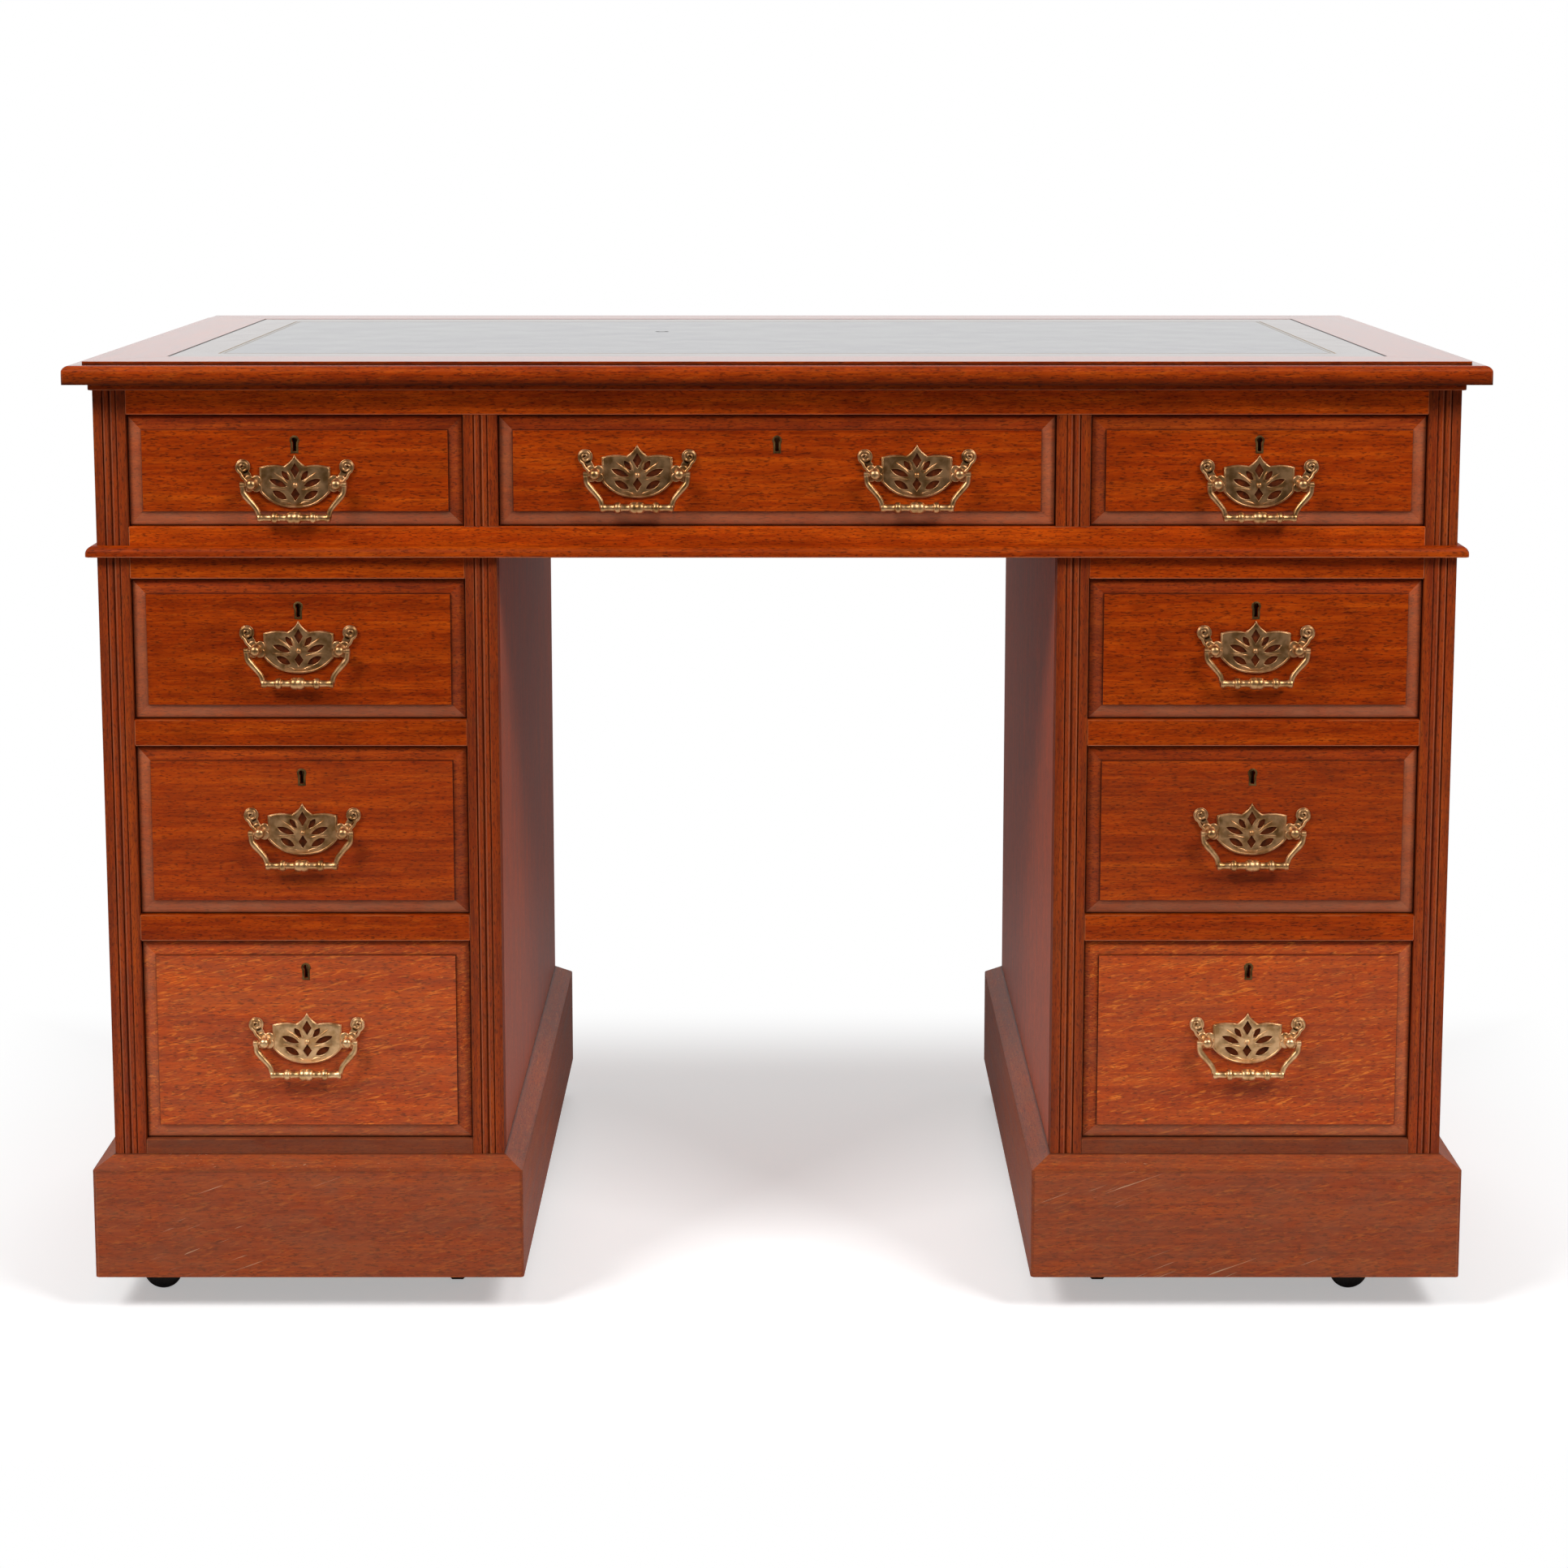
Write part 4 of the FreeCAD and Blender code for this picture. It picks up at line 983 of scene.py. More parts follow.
@dataclass
class Frieze(Joinery):
    """The case under the top, with its mouldings."""

    bed_height: float = 6.0 * MM
    bed_projection: float = 3.0 * MM
    base_height: float = 9.0 * MM
    base_projection: float = 8.0 * MM
    base_nose: float = 3.0 * MM
    base_fillet: float = 2.0 * MM
    lower_rail_look: BoardLook = field(default_factory=lambda: BoardLook(1.4))
    # Painted light: the upper rail is painted lighter to offset the shadow that the top's overhang casts on it.
    upper_rail_lit_look: BoardLook = field(default_factory=lambda: BoardLook(1.75))
    muntin_look: BoardLook = field(default_factory=lambda: BoardLook(0.87, 0.03))

    def build(self) -> None:
        """Make the ends, back, posts, rails, runners, stops and mouldings."""
        s, plank = self.sizes, self.shop.plank
        foot, head = s.pedestal_top, s.slab_bottom
        floor, ceiling = (corner.z for corner in s.opening("frieze_left"))
        inner_left, inner_right = s.left + s.side_thickness, s.right - s.side_thickness
        rail_left, rail_right = s.left + s.stile_width, s.right - s.stile_width
        boards = [
            plank((s.left, s.stile_back, foot), (inner_left, s.back, head), Grain.DEEP),
            plank((inner_right, s.stile_back, foot), (s.right, s.back, head), Grain.DEEP),
            plank((inner_left, s.back_front, foot), (inner_right, s.back, head), Grain.ACROSS),
            plank((rail_left, s.front, foot), (rail_right, s.rail_back, floor), Grain.ACROSS, self.lower_rail_look),
            plank((rail_left, s.front, ceiling), (rail_right, s.rail_back, head), Grain.ACROSS, self.upper_rail_lit_look),
            self.reeded_post(s.left, s.stile_width, foot, head, self.stile_look),
            self.reeded_post(rail_right, s.stile_width, foot, head, self.stile_look),
        ]
        guide, bearing = s.muntin_width / 2, s.muntin_width / 2 + s.bearing_width
        for edge in (s.opening("frieze_left")[1].x, s.opening("frieze_centre")[1].x):
            boards.append(self.reeded_post(edge, s.muntin_width, floor, ceiling, self.muntin_look))
            centre = edge + guide
            for reach, low, high in ((bearing, floor - s.frieze_runner_height, floor),
                                     (guide, floor, floor + s.guide_height)):
                boards.append(plank((centre - reach, s.rail_back, low), (centre + reach, s.back_front, high),
                                    Grain.DEEP, bare=True))
        boards += self.runners(floor, s.frieze_runner_height, inner_left, inner_right)
        for place in ("frieze_left", "frieze_centre", "frieze_right"):
            boards += self.stops(place)
        boards += self.mouldings()
        self.shop.glue("frieze_joinery", boards, "desk", "frieze_case")

    def mouldings(self) -> list[Piece]:
        """The bed mould under the top and the base mould above the pedestals, with their returns."""
        s = self.sizes
        bed = [(0, 0), (self.bed_projection, 0), (self.bed_projection, self.bed_height), (0, self.bed_height)]
        hollow = self.base_projection - self.base_fillet
        rise = self.base_height - self.base_nose
        curve = [(self.base_projection - hollow * (1 - math.cos(math.radians(a))),
                  self.base_nose + rise * math.sin(math.radians(a))) for a in range(0, 91, 15)]
        base = [(0, 0), (self.base_projection, 0), *curve, (0, self.base_height)]
        boards = []
        for outline, reach, floor in ((bed, self.bed_projection, s.slab_bottom - self.bed_height),
                                      (base, self.base_projection, s.pedestal_top)):
            front = [(-a, b) for a, b in outline]
            cuts = [((x, s.front, floor), (sign, 1.0, 0.0)) for x, sign in ((s.left, -1.0), (s.right, 1.0))]
            boards.append(self.shop.moulded(front, Grain.ACROSS, (s.left - reach, s.front, floor),
                                            s.right - s.left + 2 * reach, cuts))
            for x, sign in ((s.left, -1.0), (s.right, 1.0)):
                side = [(sign * a, b) for a, b in outline]
                cut = [((x, s.front, floor), (-sign, -1.0, 0.0))]
                boards.append(self.shop.moulded(side, Grain.DEEP, (x, s.front - reach, floor),
                                                s.back - s.front + reach, cut))
        return boards


@dataclass
class Pedestal(Joinery):
    """One pedestal's case and its plinth."""

    hand: Hand = Hand.LEFT
    plinth_projection: float = 16.0 * MM
    plinth_drop: float = 10.0 * MM
    plinth_ease: float = 1.8 * MM
    # The width of the painted-shade band that lies both ways from the arris over the plinth's face.
    plinth_shade_band: float = 2.8 * MM
    plinth_quirk: float = 2.0 * MM
    plinth_corner: float = 3.5 * MM
    castor_inset: float = 46.0 * MM
    # Painted shade with some old polish: a dark line where the plinth meets the case and at the arris over its face,
    # and a little at its foot.
    corner_soil_and_shade: dict[int, float] = field(default_factory=lambda: {1: 0.12, 3: 0.27, 6: 0.9})
    outer_look: BoardLook = field(default_factory=lambda: BoardLook(1.0, 0.0, 0.2))
    # Painted light and sheen: the kneehole sides are painted lighter and paler than the outer ones, to stand in for
    # light and reflection in the kneehole.
    inner_lit_look: BoardLook = field(default_factory=lambda: BoardLook(1.4, 0.068, 0.15, 0.0, Polish.SATIN))
    bottom_look: BoardLook = field(default_factory=lambda: BoardLook(0.45, 0.115))
    plinth_look: BoardLook = field(default_factory=lambda: BoardLook(0.73, 0.13, 0.6, 1.0))

    def build(self) -> None:
        """Make the case and the plinth."""
        self.build_case()
        self.build_plinth()

    def build_case(self) -> None:
        """Make the sides, posts, back, boards, rails, runners, stops and castor blocks."""
        s, plank, name = self.sizes, self.shop.plank, self.hand.name.lower()
        low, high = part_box(f"{name}_pedestal_case")
        inner_left, inner_right = low.x + s.side_thickness, high.x - s.side_thickness
        rail_left, rail_right = low.x + s.stile_width, high.x - s.stile_width
        places = [f"{name}_{level}" for level in ("lower", "middle", "upper")]
        board_top = s.opening(places[0])[0].z - s.runner_height
        looks = [self.outer_look, self.inner_lit_look]
        if self.hand is Hand.RIGHT:
            looks.reverse()
        boards = [
            plank((low.x, s.stile_back, low.z), (inner_left, s.back, high.z), Grain.UPRIGHT, looks[0]),
            plank((inner_right, s.stile_back, low.z), (high.x, s.back, high.z), Grain.UPRIGHT, looks[1]),
            self.reeded_post(low.x, s.stile_width, low.z, high.z, self.stile_look),
            self.reeded_post(rail_right, s.stile_width, low.z, high.z, self.stile_look),
            plank((inner_left, s.back_front, low.z), (inner_right, s.back, high.z), Grain.UPRIGHT),
            plank((rail_left, s.front, low.z), (rail_right, s.stile_back, board_top), Grain.ACROSS, self.bottom_look),
            plank((inner_left, s.stile_back, board_top - s.board_thickness), (inner_right, s.back_front, board_top),
                  Grain.DEEP, bare=True),
            plank((rail_left, s.front, s.opening(places[2])[1].z), (rail_right, s.rail_back, high.z), Grain.ACROSS),
            plank((inner_left, s.rail_back, high.z - s.board_thickness), (inner_right, s.back_front, high.z),
                  Grain.DEEP, bare=True),
        ]
        for place in places:
            floor = s.opening(place)[0].z
            boards.append(plank((rail_left, s.front, floor - s.runner_height), (rail_right, s.rail_back, floor),
                                Grain.ACROSS, self.bottom_look if place.endswith("lower") else None))
            boards += self.runners(floor, s.runner_height, inner_left, inner_right)
            boards += self.stops(place)
        boards += self.castor_blocks(low, high, board_top - s.board_thickness)
        self.shop.glue(f"{name}_pedestal_joinery", boards, "desk", f"{name}_pedestal_case")

    def castor_blocks(self, low: Vector, high: Vector, top: float) -> list[Piece]:
        """The corner blocks that take the castors' stems.

        Args:
            low: the case's lowest corner.
            high: the case's highest corner.
            top: the blocks' upper face.

        Returns:
            The blocks.
        """
        s, inset = self.sizes, self.castor_inset
        half_x = inset - s.side_thickness
        boards = []
        for x in (low.x + inset, high.x - inset):
            for y, half_y in ((s.front + inset, inset - s.stile_depth), (s.back - inset, inset - s.back_thickness)):
                boards.append(self.shop.plank((x - half_x, y - half_y, low.z), (x + half_x, y + half_y, top),
                                              Grain.UPRIGHT, bare=True))
        return boards

    def build_plinth(self) -> None:
        """Make the four mitred plinth boards."""
        name = self.hand.name.lower()
        low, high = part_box(f"{name}_plinth")
        tall, reach = high.z - low.z, self.plinth_projection
        slope = self.plinth_drop / reach
        face, near, quirk = tall - self.plinth_drop, self.plinth_shade_band, self.plinth_quirk
        section = [(reach, 0), (0, 0), (0, face - near), (0, face), (near, face + near * slope),
                   (reach - quirk, tall - quirk * slope), (reach, tall)]
        boards = self.shop.mitred_frame(low, high, section, self.plinth_corner, self.plinth_look, self.corner_soil_and_shade,
                                        self.plinth_ease)
        self.shop.glue(f"{name}_plinth_boards", boards, "desk", f"{name}_plinth")


# Outlines and profiles of the pulls, in millimetres. A leaf has its middle, length and width, and angle;
# a profile has radius and place along its axis.
Leaf = tuple[Spot, Spot, float]
PLATE_BOWL: Outline = [(0, -19.5), (6.9, -19.0), (13.4, -17.5), (21.3, -13.1), (28.0, -6.5)]
PLATE_CREST: Outline = [(28.0, 13.0), (19.0, 14.8), (8.4, 14.0), (3.4, 18.1), (0, 23.0)]
DIAMONDS: tuple[Point, ...] = ((3.6, 10.4, 6.2), (3.6, -8.6, 5.4))
OPENINGS: tuple[Leaf, ...] = (((7.6, 6.4), (9.4, 4.4), 55.0), ((13.6, 0.6), (15.0, 5.0), 22.0),
                              ((12.4, -9.0), (13.0, 5.4), 30.0))
RIBS: tuple[Leaf, ...] = (((4.4, 5.6), (10.0, 1.8), 68.0), ((11.2, 4.6), (15.0, 1.8), 38.0),
                          ((13.2, -4.0), (16.0, 2.0), 6.0), ((7.8, -14.8), (10.0, 2.0), 16.0))
BOSS: Outline = [(0, 0), (2.2, -1.8), (1.7, -2.7), (0.9, -3.1), (0, -3.2)]
POST: Outline = [(0, 24.0), (2.2, 24.0), (2.2, -2.0), (4.3, -2.2), (4.5, -3.0), (3.4, -4.2), (2.8, -5.5),
                 (3.3, -6.7), (4.0, -8.0), (4.3, -9.8), (4.0, -11.5), (3.0, -12.8), (1.5, -13.5), (0, -13.6)]
NUT: Outline = [(2.2, 20.0), (4.7, 20.0), (5.0, 20.4), (5.0, 23.6), (4.7, 24.0), (2.2, 24.0)]
BAR_HALF: Outline = [(4.5, 0.0), (4.9, 0.7), (4.8, 3.2), (4.3, 4.8), (3.3, 5.6), (2.8, 6.2), (2.7, 10.8), (3.1, 12.0),
                     (2.9, 12.6), (4.0, 13.2), (4.4, 14.2), (4.5, 15.2), (4.4, 16.2), (4.0, 17.2), (2.9, 17.8),
                     (3.1, 18.4), (2.7, 19.2), (2.6, 24.0), (3.0, 25.2), (3.4, 26.2), (3.5, 27.2), (3.2, 28.4),
                     (2.0, 29.2), (0.0, 29.3)]
ARM: Outline = [(40.2, 0.0), (40.0, -3.4), (39.2, -7.0), (35.6, -11.8), (31.6, -16.4), (28.6, -21.0), (27.4, -26.3)]
KNUCKLE: Outline = [(0, 33.5), (1.5, 33.5), (1.5, 38.6), (2.3, 38.6), (2.6, 38.9), (2.6, 42.0), (2.0, 42.4),
                    (0, 42.4)]


@dataclass
class BrassFounder:
    """Casts the drawer pulls once each, in millimetres round their pivot line, and hands out copies."""

    post_half: float = 33.5
    plate_thickness: float = 1.8
    plate_round: float = 0.45
    rim_shares: Spot = (0.955, 0.945)
    rim_radius: float = 0.6
    rib_thickness: float = 1.4
    rib_round: float = 0.65
    rib_sink: float = 0.9
    boss_drop: float = 1.4
    petal_radius: float = 4.0
    petal_round: float = 0.9
    rosette_thickness: float = 2.6
    ear_place: Spot = (41.2, 13.4)
    ear_radius: float = 6.0
    ear_eye: float = 2.0
    ear_round: float = 0.4
    stem_half: float = 2.5
    scroll_reach: float = -2.0
    scroll_foot: tuple[Spot, Spot] = ((4.6, 1.5), (8.0, 5.0))
    scroll_steps: int = 26
    scroll_start: float = -70.0
    scroll_turn: float = 24.0
    scroll_radius: float = 5.3
    scroll_shrink: float = 3.9
    scroll_bar: Spot = (1.2, 0.4)
    bar_drop: float = 26.3
    arm_radius: float = 2.3
    arm_swell: float = 0.4
    swell_place: float = 0.42
    swell_sharpness: float = 9.0
    key_radius: float = 2.3
    key_half_slot: float = 1.5
    key_length: float = 8.8
    key_rim: float = 1.5
    thread_thickness: float = 1.2
    thread_round: float = 0.3
    thread_sink: float = 0.8
    film_shares: Spot = (0.94, 0.9)
    film_thickness: float = 0.3
    film_round: float = 0.1
    smooth_angle: float = 40.0
    pull: Piece | None = None
    bail: Piece | None = None
    thread: Piece | None = None
    film: Piece | None = None

    def sheet(self, outlines: list[Outline], thickness: float, rounding: float, back: float = 0.0) -> Piece:
        """A flat casting with rolled edges, pierced where outlines lie inside one another.

        Args:
            outlines: closed outlines on the drawer's face.
            thickness: how thick it is.
            rounding: the radius of its edges.
            back: how far its back stands out from the face.

        Returns:
            The casting.
        """
        curve = bpy.data.curves.new("casting", "CURVE")
        curve.dimensions = "2D"
        curve.fill_mode = "BOTH"
        curve.extrude = max(thickness / 2 - rounding, 0.01)
        curve.bevel_depth = rounding
        curve.bevel_resolution = 2
        curve.offset = -rounding
        for outline in outlines:
            spline = curve.splines.new("POLY")
            spline.points.add(len(outline) - 1)
            spline.points.foreach_set("co", [c for x, z in outline for c in (x, z, 0.0, 1.0)])
            spline.use_cyclic_u = True
        casting = self.to_mesh(curve)
        casting.data.transform(Matrix.Translation((0, -back - thickness / 2, 0))
                               @ Matrix.Rotation(math.pi / 2, 4, "X"))
        return casting

    def tube(self, points: list[Point], radii: list[float], closed: bool = False) -> Piece:
        """A round bar along a path.

        Args:
            points: the path.
            radii: the bar's radius at each point.
            closed: whether its ends meet.

        Returns:
            The bar.
        """
        curve = bpy.data.curves.new("bar", "CURVE")
        curve.dimensions = "3D"
        curve.bevel_depth = 1.0
        curve.bevel_resolution = 3
        curve.use_fill_caps = True
        spline = curve.splines.new("POLY")
        spline.points.add(len(points) - 1)
        spline.points.foreach_set("co", [c for point in points for c in (*point, 1.0)])
        spline.points.foreach_set("radius", radii)
        spline.use_cyclic_u = closed
        return self.to_mesh(curve)

    @staticmethod
    def to_mesh(curve: bpy.types.Curve) -> Piece:
        """Turn a curve to a mesh object with outward faces."""
        casting = bpy.data.objects.new("casting", curve)
        bpy.context.scene.collection.objects.link(casting)
        pick(casting)
        bpy.ops.object.convert(target="MESH")
        weld(0.002)
        return bpy.context.object

    @staticmethod
    def turned(profile: Outline, axis: int, centre: Point, steps: int = 24) -> Piece:
        """A turning spun about an axis.

        Args:
            profile: radius and place along the axis, in order.
            axis: the axis, 0 for X and 1 for Y.
            centre: a point on the axis.
            steps: how many flats go round.

        Returns:
            The turning.
        """
        bpy.ops.object.select_all(action="DESELECT")
        bpy.ops.mesh.primitive_circle_add(vertices=len(profile), location=(0, 0, 0))
        turning = bpy.context.object
        for vertex, (radius, along) in zip(turning.data.vertices, profile):
            place = Vector(centre) + Vector((0, 0, radius))
            place[axis] += along
            vertex.co = place
        line = (1.0, 0.0, 0.0) if axis == 0 else (0.0, 1.0, 0.0)
        bpy.ops.object.mode_set(mode="EDIT")
        bpy.ops.mesh.select_all(action="SELECT")
        bpy.ops.mesh.spin(steps=steps, angle=2 * math.pi, center=centre, axis=line)
        bpy.ops.object.mode_set(mode="OBJECT")
        weld(0.005)
        return turning

    def joined(self, name: str, pieces: list[Piece]) -> Piece:
        """Join castings to one, in metres, and smooth it."""
        casting = join(name, pieces)
        casting.data.transform(Matrix.Scale(MM, 4))
        bpy.ops.object.shade_smooth_by_angle(angle=math.radians(self.smooth_angle))
        return casting

    @staticmethod
    def leaf(place: Spot, size: Spot, angle: float, hand: int) -> Outline:
        """A pointed leaf's outline, turned to its angle on one side of the middle."""
        half, rise = size[0] / 2, size[1] / 2
        flat = arc_chain([(-half, 0), (0, rise), (half, 0), (0, -rise), (-half, 0)])[:-1]
        c, s = math.cos(math.radians(angle)), math.sin(math.radians(angle))
        return [(hand * (place[0] + x * c - z * s), place[1] + x * s + z * c) for x, z in flat]

    @staticmethod
    def wound(outline: Outline) -> Outline:
        """An opening's outline, turned clockwise so that its edge rolls into the opening."""
        area = sum(a[0] * b[1] - b[0] * a[1] for a, b in zip(outline, outline[1:] + outline[:1]))
        return outline[::-1] if area > 0 else outline

    @staticmethod
    def ring(place: Spot, radius: float, count: int = 24) -> Outline:
        """A circle's outline."""
        turn = 2 * math.pi / count
        return [(place[0] + radius * math.cos(i * turn), place[1] + radius * math.sin(i * turn))
                for i in range(count)]

    @staticmethod
    def plate_outline() -> Outline:
        """The backplate's outline: a pointed finial, broad shoulders and a bowl below."""
        right = arc_chain(PLATE_BOWL) + arc_chain(PLATE_CREST)
        return right + [(-x, z) for x, z in reversed(right[1:-1])]

    def build_pull(self) -> None:
        """Cast the backplate with its palmette, its scrolled ears, its rosettes and posts."""
        outline, front = self.plate_outline(), self.plate_thickness
        holes = [[(w, z), (0, z + h), (-w, z), (0, z - h)] for w, z, h in DIAMONDS]
        holes += [self.leaf(*opening, hand) for hand in (-1, 1) for opening in OPENINGS]
        pieces = [self.sheet([outline, *map(self.wound, holes)], front, self.plate_round)]
        rim = [(x * self.rim_shares[0], 0.1 - front, z * self.rim_shares[1]) for x, z in outline]
        pieces.append(self.tube(rim, [self.rim_radius] * len(rim), True))
        for hand in (-1, 1):
            pieces += [self.sheet([self.leaf(*rib, hand)], self.rib_thickness, self.rib_round, front - self.rib_sink)
                       for rib in RIBS]
            pieces += self.end_scroll(hand)
        pieces.append(self.turned(BOSS, 1, (0, 0, -self.boss_drop), 16))
        self.pull = self.joined("pull_pattern", pieces)

    def end_scroll(self, hand: int) -> list[Piece]:
        """One end of a pull: rosette, ball-headed post, nut, stem and scrolled ear.

        Args:
            hand: 1 for the right end and -1 for the left.

        Returns:
            The castings.
        """
        x, (ear_x, ear_z), reach = hand * self.post_half, self.ear_place, self.petal_radius
        pieces = []
        for angle in (math.pi / 4 + quarter * math.pi / 2 for quarter in range(4)):
            centre = (x + reach * math.cos(angle), reach * math.sin(angle))
            pieces.append(self.sheet([self.ring(centre, reach, 16)], self.rosette_thickness, self.petal_round))
        pieces += [self.turned(POST, 1, (x, 0, 0)), self.turned(NUT, 1, (x, 0, 0), 18)]
        ear = (hand * ear_x, ear_z)
        pieces.append(self.sheet([self.ring(ear, self.ear_radius), self.wound(self.ring(ear, self.ear_eye))],
                                 self.plate_thickness, self.ear_round))
        low, high = Vector((self.post_half, 0.0)), Vector((ear_x, ear_z))
        way = (high - low).normalized()
        side = Vector((-way.y, way.x)) * self.stem_half
        stem = [low - side, high - side, high + side, low + side]
        pieces.append(self.sheet([[(hand * p.x, p.y) for p in stem]], self.plate_thickness, self.ear_round))
        scroll = [(hand * (self.post_half + out), self.scroll_reach, up) for out, up in self.scroll_foot]
        for i in range(self.scroll_steps):
            angle = math.radians(self.scroll_start + self.scroll_turn * i)
            radius = self.scroll_radius - self.scroll_shrink * i / (self.scroll_steps - 1)
            scroll.append((hand * (ear_x + radius * math.cos(angle)), self.scroll_reach,
                           ear_z + radius * math.sin(angle)))
        thick, taper = self.scroll_bar
        pieces.append(self.tube(scroll, [thick - taper * i / len(scroll) for i in range(len(scroll))]))
        return pieces

    def build_bail(self) -> None:
        """Cast the swinging bail: a turned bar between two curved arms."""
        profile = [(r, -a) for r, a in reversed(BAR_HALF[1:])] + BAR_HALF
        pieces = [self.turned(profile, 0, (0, 0, -self.bar_drop))]
        for hand in (-1, 1):
            path = smooth_path([(hand * x, 0.0, z) for x, z in ARM], 4)
            swell = [math.exp(-((i / len(path) - self.swell_place) * self.swell_sharpness) ** 2)
                     for i in range(len(path))]
            radii = [self.arm_radius + self.arm_swell * share for share in swell]
            pieces.append(self.tube(path, radii))
            pieces.append(self.turned([(r, hand * a) for r, a in KNUCKLE], 0, (0, 0, 0), 18))
        self.bail = self.joined("bail_pattern", pieces)

    def build_thread(self) -> None:
        """Cast the thin thread that lines a keyhole."""
        outlines = []
        for grow in (self.key_rim, 0.0):
            radius, half = self.key_radius + grow, self.key_half_slot + grow
            start = math.degrees(math.acos(half / radius))
            foot = -self.key_length - grow
            outlines.append([(half, foot), *arc_points((0, 0), radius, -start, 180 + start, 20), (-half, foot)])
        outlines[1] = self.wound(outlines[1])
        thread = self.sheet(outlines, self.thread_thickness, self.thread_round, -self.thread_sink)
        self.thread = self.joined("thread_pattern", [thread])

    def build_film(self) -> None:
        """Lay a dark sheet behind a pierced plate: painted shade, with some old polish that gathers there."""
        outline = [(x * self.film_shares[0], z * self.film_shares[1]) for x, z in self.plate_outline()]
        self.film = self.joined("film_pattern", [self.sheet([outline], self.film_thickness, self.film_round)])

    @staticmethod
    def cast(pattern: Piece, shift: Vector, metal: Material) -> Piece:
        """A copy of a pattern, with its own mesh, at its place.

        Args:
            pattern: the pattern.
            shift: where its origin goes.
            metal: what it is cast in.

        Returns:
            The copy.
        """
        copy = bpy.data.objects.new(pattern.name, pattern.data.copy())
        copy.data.transform(Matrix.Translation(shift))
        dress(copy, metal)
        bpy.context.scene.collection.objects.link(copy)
        return copy

    def open_foundry(self) -> None:
        """Make the patterns."""
        self.build_pull()
        self.build_bail()
        self.build_thread()
        self.build_film()

    def close_foundry(self) -> None:
        """Put the patterns away."""
        for pattern in (self.pull, self.bail, self.thread, self.film):
            bpy.data.objects.remove(pattern)


